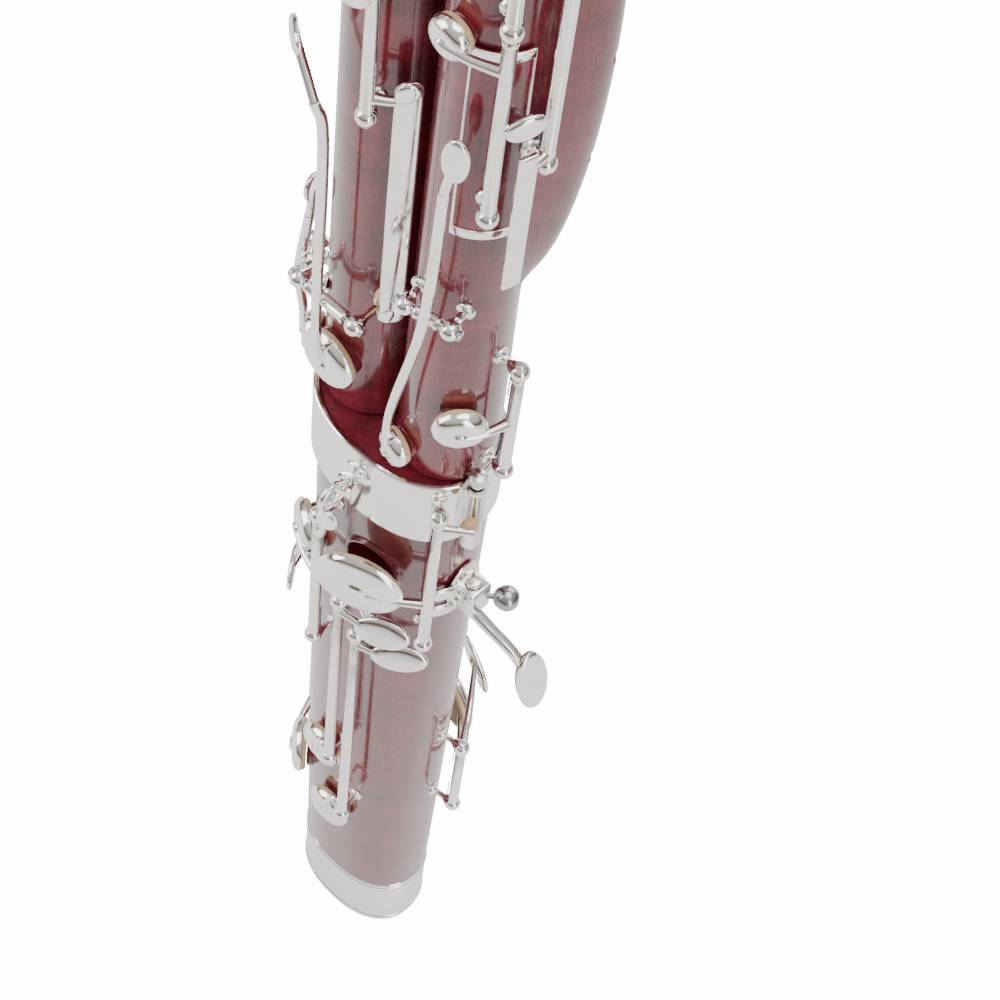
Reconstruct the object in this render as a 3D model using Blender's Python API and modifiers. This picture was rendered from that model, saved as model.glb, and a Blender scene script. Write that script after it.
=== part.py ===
# Bassoon with its bocal, reed and keywork, in metres, +Z up the instrument.
# The origin is the middle of the boot cap's bottom face. The thumb side faces -Y,
# the wing joint stands at +X and the long joint at -X.
# A "turn" is an angle in degrees round a joint: 0 faces -Y, 90 faces +X, 180 faces +Y.

import math

import bmesh
import bpy
from mathutils import Matrix, Vector

# Boot
BOOT_HEIGHT = 0.440
BOOT_TOP_HALF_WIDTH = 0.0360
BOOT_TOP_HALF_DEPTH = 0.0260
BOOT_BASE_HALF_WIDTH = 0.0312
BOOT_BASE_HALF_DEPTH = 0.0222
OVAL_POWER = 2.3
OVAL_SIDES = 32
CAP_HEIGHT = 0.045
CAP_WALL = 0.0012
CAP_OVERLAP = 0.007
FERRULE_HEIGHT = 0.039
FERRULE_WALL = 0.0017
SOCKET_DEPTH = 0.036
SMALL_BORE = 0.0085
LARGE_BORE = 0.0105
U_TUBE_WALL = 0.0012
GASKET_THICKNESS = 0.0025

# Wing, long and bell joints
WING_AXIS_X = 0.0184
WING_LENGTH = 0.465
WING_BASE_RADIUS = 0.0184
WING_TOP_RADIUS = 0.0138
WING_TENON_RADIUS = 0.0112
WING_BORE = 0.0065
WING_FIN_REACH = 0.034
LONG_AXIS_X = -0.0186
LONG_LENGTH = 0.605
LONG_BASE_RADIUS = 0.0182
LONG_TOP_RADIUS = 0.0178
LONG_TENON_RADIUS = 0.0132
LONG_BORE = 0.0108
BELL_TENON_LENGTH = 0.034
BELL_TENON_RADIUS = 0.0140
BELL_LENGTH = 0.330
BELL_BASE_RADIUS = 0.0205
BELL_SWELL_RADIUS = 0.0230
BELL_RIM_RADIUS = 0.0265
BELL_BORE = 0.0150
RING_WALL = 0.0018

# Crook
BOCAL_BASE_RADIUS = 0.0052
BOCAL_TIP_RADIUS = 0.0030
BOCAL_REACH = 0.230
BOCAL_RISE = 0.105
NIB_RISE = 0.016
NIB_LENGTH = 0.003
REED_LENGTH = 0.056
REED_TIP_WIDTH = 0.015

# Keywork
GAP = 0.0003
CORK = 0.0010
CORK_MARGIN = 0.006
ROD_RADIUS = 0.0012
SLEEVE_RADIUS = 0.0024
SLEEVE_BORE = ROD_RADIUS + GAP
POST_BALL = 0.0037
POST_SHAFT = 0.0017
ARM_RADIUS = 0.0018
PAD_ROOM = 0.0040
CUP_HEIGHT = 0.0042
TOUCH_THICKNESS = 0.0022
HINGE_LIFT = 0.0095
RING_RADIUS = 0.0062
RING_WIRE = 0.0013
SADDLE_THICKNESS = 0.0012
LUG_TURN = 5
LUG_DROP = 0.013
LUG_REACH = 0.0064
PIN_TURN = 79
PIN_RADIUS = 0.0022
PIN_PLAY = 0.0005
GUIDE_RADIUS = 0.0040
GUIDE_LENGTH = 0.036
BRIDGE_DROP = 0.011

# Hand rest, its height on the boot and its turn round it
REST_HEIGHT = 0.352
REST_TURN = 88
REST_PLATE = (0.017, 0.034, 0.0016)
REST_BLOCK = (0.011, 0.016, 0.0100)
REST_BLOCK_LIFT = 0.0055
REST_STEM_RADIUS = 0.0029
REST_EAR_SPREAD = 0.0065
REST_EAR_TURN = REST_TURN - 17
REST_EAR_LIFT = 0.0030
REST_SCREW_RADIUS = 0.0012
REST_SCREW_SLANT = (0.77, 0.64)
REST_SCREW_HEAD = 0.0052

# Lock that holds the wing and long joints together
LOCK_HEIGHT = 0.424
LOCK_TURN = 130
LOCK_LIFT = 0.0050
LOCK_BARREL_RADIUS = 0.0036
LOCK_PIN_RADIUS = 0.0018

BOOT_TOP = BOOT_HEIGHT
JOINT_FLOOR = BOOT_TOP + GAP
WING_TOP = BOOT_TOP + WING_LENGTH
LONG_TOP = BOOT_TOP + LONG_LENGTH
BELL_FLOOR = LONG_TOP - BELL_TENON_LENGTH
BELL_TOP = BELL_FLOOR + BELL_LENGTH

# Tone holes: joint, turn, height above the joint's own foot, hole radius, pad cup radius.
HOLES = {
    "low_e": ("boot", 22, 0.366, 0.0110, 0.0180),
    "thumb_b_flat": ("boot", -52, 0.342, 0.0070, 0.0120),
    "thumb_f_sharp": ("boot", -17, 0.176, 0.0070, 0.0115),
    "thumb_a_flat": ("boot", -3, 0.118, 0.0070, 0.0115),
    "low_f": ("boot", 158, 0.170, 0.0100, 0.0165),
    "low_g": ("boot", 176, 0.236, 0.0085, 0.0140),
    "g_sharp": ("boot", -128, 0.330, 0.0080, 0.0125),
    "front_f_sharp": ("boot", -62, 0.125, 0.0080, 0.0130),
    "low_e_flat": ("long", -4, 0.031, 0.0075, 0.0125),
    "low_c_sharp": ("long", -55, 0.020, 0.0045, 0.0080),
    "low_d": ("long", 50, 0.080, 0.0040, 0.0065),
    "low_c": ("long", -8, 0.362, 0.0100, 0.0160),
    "low_b": ("long", -8, 0.492, 0.0105, 0.0165),
    "bell_b_flat": ("bell", -8, 0.165, 0.0110, 0.0170),
    "wing_c_sharp": ("wing", -15, 0.011, 0.0040, 0.0078),
    "wing_vent": ("wing", 48, 0.042, 0.0050, 0.0098),
    "high_a": ("wing", -2, 0.238, 0.0035, 0.0075),
    "high_c": ("wing", -2, 0.330, 0.0035, 0.0075),
}

FINGER_HOLES = {
    "boot": ((157, 0.392, 0.0038), (163, 0.352, 0.0038), (168, 0.300, 0.0042)),
    "wing": ((128, 0.175, 0.0032), (128, 0.222, 0.0032), (128, 0.270, 0.0035)),
}

FEET = {"boot": 0.0, "wing": BOOT_TOP, "long": BOOT_TOP, "bell": BELL_FLOOR}

collection = None
cutters = None
paints = {}


# ---------------------------------------------------------------- places on the joints

def blend(low, high, share):
    return low + (high - low) * share


def half_axes(height, grow=0.0):
    share = height / BOOT_HEIGHT
    width = blend(BOOT_BASE_HALF_WIDTH, BOOT_TOP_HALF_WIDTH, share)
    depth = blend(BOOT_BASE_HALF_DEPTH, BOOT_TOP_HALF_DEPTH, share)
    return width + grow, depth + grow


def joint_radius(joint, height):
    if joint == "wing":
        return blend(WING_BASE_RADIUS, WING_TOP_RADIUS, (height - BOOT_TOP) / WING_LENGTH)
    if joint == "long":
        return blend(LONG_BASE_RADIUS, LONG_TOP_RADIUS, (height - BOOT_TOP) / LONG_LENGTH)
    return blend(BELL_BASE_RADIUS, BELL_SWELL_RADIUS, (height - BELL_FLOOR) / BELL_LENGTH)


def axis_x(joint):
    return {"boot": 0.0, "wing": WING_AXIS_X, "long": LONG_AXIS_X, "bell": LONG_AXIS_X}[joint]


def outward(joint, turn, height):
    side, front = math.sin(math.radians(turn)), -math.cos(math.radians(turn))
    if joint != "boot":
        return Vector((side, front, 0.0))
    width, depth = half_axes(height)
    point = oval_point(turn, width, depth)
    slope_x = math.copysign(abs(point[0] / width) ** (OVAL_POWER - 1) / width, point[0])
    slope_y = math.copysign(abs(point[1] / depth) ** (OVAL_POWER - 1) / depth, point[1])
    return Vector((slope_x, slope_y, 0.0)).normalized()


def oval_point(turn, width, depth):
    side, front = math.sin(math.radians(turn)), -math.cos(math.radians(turn))
    reach = (abs(side / width) ** OVAL_POWER + abs(front / depth) ** OVAL_POWER) ** (-1 / OVAL_POWER)
    return reach * side, reach * front


def spot(joint, turn, height, lift=0.0):
    # A point over the joint's skin; the height is measured from the joint's own foot.
    level = FEET[joint] + height
    out = outward(joint, turn, level)
    if joint == "boot":
        width, depth = half_axes(level)
        x, y = oval_point(turn, width, depth)
        return Vector((x, y, level)) + out * lift
    return Vector((axis_x(joint), 0.0, level)) + out * (joint_radius(joint, level) + lift)


# ---------------------------------------------------------------- shapes

def to_object(name, bm, matrix=None):
    mesh = bpy.data.meshes.new(name)
    if matrix is not None:
        bmesh.ops.transform(bm, matrix=matrix, verts=bm.verts)
    bm.to_mesh(mesh)
    bm.free()
    piece = bpy.data.objects.new(name, mesh)
    cutters.objects.link(piece)
    return piece


def facing(direction, along=None):
    # A turn that lays +Z on the direction and, where it is given, +X towards "along".
    z = Vector(direction).normalized()
    if along is None:
        return z.to_track_quat("Z", "Y").to_matrix().to_4x4()
    x = (Vector(along) - z * Vector(along).dot(z)).normalized()
    y = z.cross(x)
    return Matrix((x, y, z)).transposed().to_4x4()


def cylinder(start, end, radius, sides=12):
    start, end = Vector(start), Vector(end)
    bm = bmesh.new()
    bmesh.ops.create_cone(bm, cap_ends=True, segments=sides, radius1=radius, radius2=radius,
                          depth=(end - start).length)
    matrix = Matrix.Translation((start + end) / 2) @ facing(end - start)
    return to_object("cylinder", bm, matrix)


def ball(centre, radius, sides=8, rings=5):
    bm = bmesh.new()
    bmesh.ops.create_uvsphere(bm, u_segments=sides, v_segments=rings, radius=radius)
    return to_object("ball", bm, Matrix.Translation(Vector(centre)))


def slab(centre, normal, along, length, width, thickness, sides=10):
    # An oval plate, or a box when it has four sides.
    bm = bmesh.new()
    if sides == 4:
        bmesh.ops.create_cube(bm, size=1.0)
    else:
        bmesh.ops.create_cone(bm, cap_ends=True, segments=sides, radius1=0.5, radius2=0.5, depth=1.0)
    matrix = Matrix.Translation(Vector(centre)) @ facing(normal, along)
    return to_object("slab", bm, matrix @ Matrix.Diagonal((length, width, thickness, 1.0)))


def oval_prism(low, high, low_axes, high_axes, sides=OVAL_SIDES):
    bm = bmesh.new()
    bmesh.ops.create_cone(bm, cap_ends=True, segments=sides, radius1=1.0, radius2=1.0, depth=high - low)
    for vert in bm.verts:
        turn = math.degrees(math.atan2(vert.co.x, -vert.co.y))
        width, depth = low_axes if vert.co.z < 0 else high_axes
        vert.co.x, vert.co.y = oval_point(turn, width, depth)
        vert.co.z += (low + high) / 2
    return to_object("oval", bm)


def turned(profile, steps, matrix=None, ring=False):
    # The profile holds (radius, height) points, down the outer side first.
    mesh = bpy.data.meshes.new("turned")
    count = len(profile)
    edges = [(i, i + 1) for i in range(count - 1)] + ([(count - 1, 0)] if ring else [])
    mesh.from_pydata([(radius, 0.0, height) for radius, height in profile], edges, [])
    piece = bpy.data.objects.new("turned", mesh)
    cutters.objects.link(piece)
    screw = piece.modifiers.new("turn", "SCREW")
    screw.steps = screw.render_steps = steps
    screw.use_merge_vertices = True
    screw.merge_threshold = 0.00001
    return baked(piece, matrix)


def wire(points, radius, resolution=0, radii=None):
    data = bpy.data.curves.new("wire", "CURVE")
    data.dimensions = "3D"
    data.bevel_depth = radius
    data.bevel_resolution = resolution
    data.use_fill_caps = True
    spline = data.splines.new("POLY")
    spline.points.add(len(points) - 1)
    for index, point in enumerate(points):
        spline.points[index].co = (*point, 1.0)
        spline.points[index].radius = 1.0 if radii is None else radii[index] / radius
    piece = bpy.data.objects.new("wire", data)
    cutters.objects.link(piece)
    return baked(piece)


def smooth_path(points, steps=4):
    # Catmull-Rom points through the given ones.
    points = [Vector(point) for point in points]
    ends = [points[0] * 2 - points[1], *points, points[-1] * 2 - points[-2]]
    path = []
    for index in range(1, len(ends) - 2):
        before, here, there, after = ends[index - 1:index + 3]
        for step in range(steps):
            t = step / steps
            path.append(0.5 * (2 * here + (there - before) * t
                               + (2 * before - 5 * here + 4 * there - after) * t ** 2
                               + (3 * here - before - 3 * there + after) * t ** 3))
    return path + [points[-1]]


def baked(piece, matrix=None):
    # The evaluated shape as a plain mesh object, its seams welded.
    graph = bpy.context.evaluated_depsgraph_get()
    mesh = bpy.data.meshes.new_from_object(piece.evaluated_get(graph))
    bm = bmesh.new()
    bm.from_mesh(mesh)
    bmesh.ops.remove_doubles(bm, verts=bm.verts, dist=0.00001)
    bmesh.ops.triangulate(bm, faces=bm.faces)
    bpy.data.objects.remove(piece)
    return to_object("baked", bm, matrix)


def joined(pieces, holes=()):
    # One body from overlapping pieces, less the holes.
    base = pieces[0]
    for operation, tools in (("UNION", pieces[1:]), ("DIFFERENCE", holes)):
        for tool in tools:
            modifier = base.modifiers.new("join", "BOOLEAN")
            modifier.operation = operation
            modifier.object = tool
            modifier.solver = "EXACT"
    result = baked(base)
    for tool in (*pieces[1:], *holes):
        bpy.data.objects.remove(tool)
    return result


def finish(name, piece, paint, origin=(0.0, 0.0, 0.0), holder=None):
    origin = Vector(origin)
    piece.name = piece.data.name = name
    piece.data.transform(Matrix.Translation(-origin))
    piece.location = origin
    piece.data.materials.append(paints[paint])
    piece.data.shade_smooth()
    piece.data.set_sharp_from_angle(angle=math.radians(35))
    cutters.objects.unlink(piece)
    collection.objects.link(piece)
    piece.parent = holder
    return piece


def cup(centre, normal, radius):
    profile = [(0.0, CUP_HEIGHT), (radius * 0.8, CUP_HEIGHT * 0.7), (radius, 0.0), (0.0, 0.0)]
    return turned(profile, 14, Matrix.Translation(Vector(centre)) @ facing(normal))


def hole_cut(joint, turn, height, radius, depth):
    return cylinder(spot(joint, turn, height, -depth), spot(joint, turn, height, 0.006), radius, 10)


# ---------------------------------------------------------------- joints of the instrument

def make_boot(holder):
    wood_floor = CAP_HEIGHT - CAP_OVERLAP
    wood_top = BOOT_HEIGHT - 0.0015
    inset = -CAP_WALL - GAP
    body = oval_prism(CAP_HEIGHT + GAP, wood_top, half_axes(CAP_HEIGHT), half_axes(wood_top))
    spigot = oval_prism(wood_floor, CAP_HEIGHT + 0.001, half_axes(wood_floor, inset),
                        half_axes(wood_floor, inset))
    socket_floor = BOOT_HEIGHT - SOCKET_DEPTH
    holes = []
    for x, tenon, bore in ((WING_AXIS_X, WING_TENON_RADIUS, SMALL_BORE),
                           (LONG_AXIS_X, LONG_TENON_RADIUS, LARGE_BORE)):
        socket = tenon + CORK + 2 * GAP
        holes.append(cylinder((x, 0, socket_floor), (x, 0, BOOT_HEIGHT + 0.01), socket, 24))
        holes.append(cylinder((x, 0, wood_floor - 0.01), (x, 0, socket_floor + 0.002), bore, 20))
    for joint, turn, height, radius, _ in HOLES.values():
        if joint == "boot":
            holes.append(hole_cut(joint, turn, height, radius, 0.013))
    for turn, height, radius in FINGER_HOLES["boot"]:
        holes.append(hole_cut("boot", turn, height, radius, 0.016))
    finish("boot_body", joined([body, spigot], holes), "wood", holder=holder)

    cap = oval_prism(0.0, CAP_HEIGHT, half_axes(CAP_HEIGHT, -0.0012), half_axes(CAP_HEIGHT))
    cap_inside = oval_prism(CAP_WALL, CAP_HEIGHT + 0.01, half_axes(CAP_HEIGHT, -CAP_WALL),
                            half_axes(CAP_HEIGHT, -CAP_WALL))
    finish("boot_cap", joined([cap], [cap_inside]), "silver", holder=holder)

    gasket_top = wood_floor - GAP
    gasket_floor = gasket_top - GASKET_THICKNESS
    gasket = oval_prism(gasket_floor, gasket_top, half_axes(wood_floor, inset - 0.001),
                        half_axes(wood_floor, inset - 0.001))
    bores = [cylinder((x, 0, gasket_floor - 0.01), (x, 0, gasket_top + 0.01), bore, 20)
             for x, bore in ((WING_AXIS_X, SMALL_BORE), (LONG_AXIS_X, LARGE_BORE))]
    finish("u_tube_gasket", joined([gasket], bores), "cork", holder=holder)

    u_top = gasket_floor - GAP
    straight = Vector((0, 0, 0.002))
    bend = (WING_AXIS_X - LONG_AXIS_X) / 2
    middle = Vector(((WING_AXIS_X + LONG_AXIS_X) / 2, 0.0, u_top - straight.z))
    path = [middle + bend * Vector((math.cos(math.pi * step / 10), 0.0, -math.sin(math.pi * step / 10)))
            for step in range(11)]
    path = [path[0] + straight, *path, path[-1] + straight]
    radii = [SMALL_BORE, *[blend(SMALL_BORE, LARGE_BORE, step / 10) for step in range(11)], LARGE_BORE]
    shell = wire(path, SMALL_BORE, 3, [radius + U_TUBE_WALL for radius in radii])
    path[0], path[-1] = path[0] + straight, path[-1] + straight
    finish("u_tube", joined([shell], [wire(path, SMALL_BORE, 3, radii)]), "silver", holder=holder)


def make_tenon_cork(name, holder, x, tenon_radius, tenon_floor):
    inner, outer = tenon_radius + GAP, tenon_radius + GAP + CORK
    low, high = tenon_floor + CORK_MARGIN, BOOT_TOP - CORK_MARGIN
    ring = [(outer, high), (outer, low), (inner, low), (inner, high)]
    finish(name, turned(ring, 20, Matrix.Translation((x, 0, 0)), ring=True), "cork", holder=holder)


def make_wing(holder):
    tenon_floor = BOOT_HEIGHT - SOCKET_DEPTH + 0.001
    x = WING_AXIS_X
    profile = [(WING_TOP_RADIUS, WING_TOP),
               (blend(WING_BASE_RADIUS, WING_TOP_RADIUS, 0.5), BOOT_TOP + WING_LENGTH / 2),
               (WING_BASE_RADIUS, JOINT_FLOOR), (WING_TENON_RADIUS, JOINT_FLOOR),
               (WING_TENON_RADIUS, tenon_floor), (0.0, tenon_floor)]
    body = turned([(0.0, WING_TOP), *profile], 32, Matrix.Translation((x, 0, 0)))
    fin_middle = BOOT_TOP + WING_LENGTH * 0.48
    out = outward("wing", 128, fin_middle)
    fin = ball((0, 0, 0), 1.0, 14, 10)
    fin.data.transform(Matrix.Translation(Vector((x, 0, fin_middle)) + out * WING_FIN_REACH * 0.42)
                       @ facing((0, 0, 1), out)
                       @ Matrix.Diagonal((WING_FIN_REACH * 0.58, 0.0108, WING_LENGTH * 0.24, 1)))
    holes = [cylinder((x, 0, tenon_floor - 0.01), (x, 0, WING_TOP + 0.01), WING_BORE, 18)]
    for joint, turn, height, radius, _ in HOLES.values():
        if joint == "wing":
            holes.append(hole_cut(joint, turn, height, radius, 0.013))
    for turn, height, radius in FINGER_HOLES["wing"]:
        direction = outward("wing", turn, BOOT_TOP + height)
        start = Vector((x, 0, BOOT_TOP + height))
        holes.append(cylinder(start, start + direction * WING_FIN_REACH * 1.2, radius, 10))
    finish("wing_body", joined([body, fin], holes), "wood", holder=holder)

    make_tenon_cork("wing_tenon_cork", holder, x, WING_TENON_RADIUS, tenon_floor)

    inner = blend(WING_BASE_RADIUS, WING_TOP_RADIUS, 0.95) + GAP
    ring = [(inner + RING_WALL, WING_TOP + 0.001), (inner + RING_WALL, WING_TOP - 0.020),
            (inner, WING_TOP - 0.020), (inner, WING_TOP + GAP), (WING_BORE + 0.001, WING_TOP + GAP),
            (WING_BORE + 0.001, WING_TOP + 0.001)]
    band = turned(ring, 22, Matrix.Translation((x, 0, 0)), ring=True)
    finish("wing_receiver_ring", band, "silver", holder=holder)

    saddle_low, saddle_high = BOOT_TOP + 0.148, BOOT_TOP + 0.236
    turns = [14 + 64 * step / 10 for step in range(11)]
    outline = []
    for lift in (2 * GAP, 2 * GAP + SADDLE_THICKNESS):
        outline.append([spot("wing", turn, 0.148, lift) for turn in turns])
    bm = bmesh.new()
    ring_verts = [bm.verts.new(point) for point in outline[0] + outline[1][::-1]]
    face = bm.faces.new(ring_verts)
    grown = bmesh.ops.extrude_face_region(bm, geom=[face])
    top_verts = [item for item in grown["geom"] if isinstance(item, bmesh.types.BMVert)]
    bmesh.ops.translate(bm, vec=(0, 0, saddle_high - saddle_low), verts=top_verts)
    bmesh.ops.recalc_face_normals(bm, faces=bm.faces)
    finish("thumb_saddle", to_object("saddle", bm), "silver", holder=holder)


def make_long(holder):
    x = LONG_AXIS_X
    tenon_floor = BOOT_HEIGHT - SOCKET_DEPTH + 0.001
    profile = [(BELL_TENON_RADIUS, LONG_TOP), (BELL_TENON_RADIUS, BELL_FLOOR), (LONG_TOP_RADIUS, BELL_FLOOR),
               (LONG_BASE_RADIUS, JOINT_FLOOR), (LONG_TENON_RADIUS, JOINT_FLOOR),
               (LONG_TENON_RADIUS, tenon_floor), (LONG_BORE, tenon_floor), (LONG_BORE, LONG_TOP)]
    body = turned(profile, 30, Matrix.Translation((x, 0, 0)), ring=True)
    holes = [hole_cut(joint, turn, height, radius, 0.011)
             for joint, turn, height, radius, _ in HOLES.values() if joint == "long"]
    finish("long_body", joined([body], holes), "wood", holder=holder)
    make_tenon_cork("long_tenon_cork", holder, x, LONG_TENON_RADIUS, tenon_floor)


def make_bell(holder):
    x = LONG_AXIS_X
    socket = BELL_TENON_RADIUS + CORK + 2 * GAP
    low, shoulder = BELL_FLOOR + GAP, BELL_FLOOR + GAP + BELL_TENON_LENGTH + 0.001
    rim = BELL_TOP - 0.026
    outer = [(BELL_SWELL_RADIUS * 0.93, rim), (BELL_SWELL_RADIUS, BELL_FLOOR + BELL_LENGTH * 0.72),
             (BELL_BASE_RADIUS * 0.96, BELL_FLOOR + BELL_LENGTH * 0.3), (BELL_BASE_RADIUS, shoulder + 0.006),
             (BELL_BASE_RADIUS, low)]
    inner = [(socket, low), (socket, shoulder), (BELL_BORE, shoulder), (BELL_BORE * 1.2, rim)]
    body = turned(outer + inner, 28, Matrix.Translation((x, 0, 0)), ring=True)
    holes = [hole_cut(joint, turn, height, radius, 0.012)
             for joint, turn, height, radius, _ in HOLES.values() if joint == "bell"]
    finish("bell_body", joined([body], holes), "wood", holder=holder)

    ring_inner = BELL_BASE_RADIUS + GAP
    ring = [(ring_inner + RING_WALL, low + 0.030), (ring_inner + RING_WALL, low), (ring_inner, low),
            (ring_inner, low + 0.030)]
    band = turned(ring, 28, Matrix.Translation((x, 0, 0)), ring=True)
    finish("bell_socket_ring", band, "silver", holder=holder)

    rim_low = rim + GAP
    rim_profile = [(BELL_RIM_RADIUS * 0.93, BELL_TOP), (BELL_RIM_RADIUS, BELL_TOP - 0.004),
                   (BELL_RIM_RADIUS * 0.98, BELL_TOP - 0.009), (BELL_SWELL_RADIUS * 0.98, BELL_TOP - 0.014),
                   (BELL_SWELL_RADIUS * 0.96, rim_low), (BELL_BORE * 1.2, rim_low),
                   (BELL_BORE * 1.3, BELL_TOP - 0.004), (BELL_BORE * 1.42, BELL_TOP)]
    rim_band = turned(rim_profile, 28, Matrix.Translation((x, 0, 0)), ring=True)
    finish("bell_rim_ring", rim_band, "rim", holder=holder)


def make_crook(holder):
    x = WING_AXIS_X
    seat = WING_TOP - 0.030
    cork_radius = WING_BORE - 2 * GAP
    start = Vector((x, 0, seat))
    path = smooth_path([start, start + Vector((0, 0, 0.040)), start + Vector((0, 0, 0.062)),
                        start + Vector((0.004, -0.012, 0.030 + BOCAL_RISE)),
                        start + Vector((0.010, -0.050, 0.052 + BOCAL_RISE)),
                        start + Vector((0.018, -0.110, 0.045 + BOCAL_RISE)),
                        start + Vector((0.026, -0.175, 0.018 + BOCAL_RISE)),
                        start + Vector((0.032, -BOCAL_REACH, -0.006 + BOCAL_RISE))], 4)
    last = len(path) - 1
    radii = [blend(BOCAL_BASE_RADIUS, BOCAL_TIP_RADIUS, index / last) for index in range(last + 1)]
    tube = wire(path, BOCAL_BASE_RADIUS, 2, radii)
    nib_z = WING_TOP + NIB_RISE
    nib = cylinder((x, 0, nib_z), (x, -BOCAL_BASE_RADIUS - NIB_LENGTH, nib_z), 0.0018, 8)
    finish("bocal_tube", joined([tube, nib]), "bocal", holder=holder)

    cork = [(cork_radius, seat + 0.029), (cork_radius, seat + 0.002), (BOCAL_BASE_RADIUS + GAP, seat + 0.002),
            (BOCAL_BASE_RADIUS + GAP, seat + 0.029)]
    finish("bocal_cork", turned(cork, 20, Matrix.Translation((x, 0, 0)), ring=True), "cork", holder=holder)

    along = (path[-1] - path[-2]).normalized()
    throat = path[-1] + along * GAP
    across = along.cross(Vector((0, 0, 1))).normalized()
    up = across.cross(along).normalized()
    blades = bmesh.new()
    bmesh.ops.create_cone(blades, cap_ends=True, segments=16, radius1=1, radius2=1, depth=1)
    for vert in blades.verts:
        at_tip = vert.co.z > 0
        wide = REED_TIP_WIDTH / 2 if at_tip else 0.0036
        thick = 0.0007 if at_tip else 0.0036
        reach = REED_LENGTH if at_tip else 0.0
        vert.co = throat + along * reach + across * vert.co.x * wide + up * vert.co.y * thick
    bmesh.ops.recalc_face_normals(blades, faces=blades.faces)
    finish("reed_blades", to_object("reed", blades), "cane", holder=holder)


# ---------------------------------------------------------------- keywork

def hinge_pieces(joint, turn, heights, lift=HINGE_LIFT, foot=GAP, at=None):
    # Posts and the steel rod through them, parallel to the instrument.
    middle = spot(joint, turn, (heights[0] + heights[-1]) / 2, lift) if at is None else at
    axis = Vector((middle.x, middle.y, 0.0))
    levels = [FEET[joint] + height for height in heights]
    pieces = [cylinder((axis.x, axis.y, levels[0]), (axis.x, axis.y, levels[-1]), ROD_RADIUS, 6)]
    for height, level in zip(heights, levels):
        top = Vector((axis.x, axis.y, level))
        on_ferrule = joint == "boot" and height > BOOT_HEIGHT - FERRULE_HEIGHT
        base = foot + (GAP + FERRULE_WALL if on_ferrule else 0.0)
        pieces += [ball(top, POST_BALL), cylinder(spot(joint, turn, height, base), top, POST_SHAFT, 6)]
    return pieces, {"joint": joint, "axis": axis}


def make_hinge(name, holder, joint, turn, heights, lift=HINGE_LIFT, foot=GAP, at=None):
    pieces, rod = hinge_pieces(joint, turn, heights, lift, foot, at)
    finish(name, joined(pieces), "steel", holder=holder)
    return rod


def make_cross_hinge(name, holder, joint, turn, height, half_span, lift=0.008):
    # Two posts with the rod across the joint between them.
    level = FEET[joint] + height
    out = outward(joint, turn, level)
    across = Vector((0, 0, 1)).cross(out).normalized()
    centre = spot(joint, turn, height, lift)
    radius = joint_radius(joint, level)
    depth = math.sqrt(radius ** 2 - (half_span - POST_SHAFT) ** 2) + GAP
    core = Vector((axis_x(joint), 0.0, level))
    pieces = []
    for side in (-1, 1):
        top = centre + across * half_span * side
        foot = core + out * depth + across * half_span * side
        pieces += [ball(top, POST_BALL), cylinder(foot, top, POST_SHAFT, 6)]
    rod = cylinder(centre - across * half_span, centre + across * half_span, ROD_RADIUS, 6)
    finish(name, joined([rod] + pieces), "steel", holder=holder)
    return {"joint": joint, "centre": centre, "across": across, "out": out, "half_span": half_span}


def touch_piece(centre, normal, along, length, width):
    return slab(centre, normal, along, length, width, TOUCH_THICKNESS)


def arm_path(root, end, out):
    # Level out from the sleeve first, then up or down past the post.
    knee = (root + end) / 2 + out * 0.001
    if abs(end.z - root.z) > ARM_RADIUS:
        knee.z = root.z
    return [root, knee, end]


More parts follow.
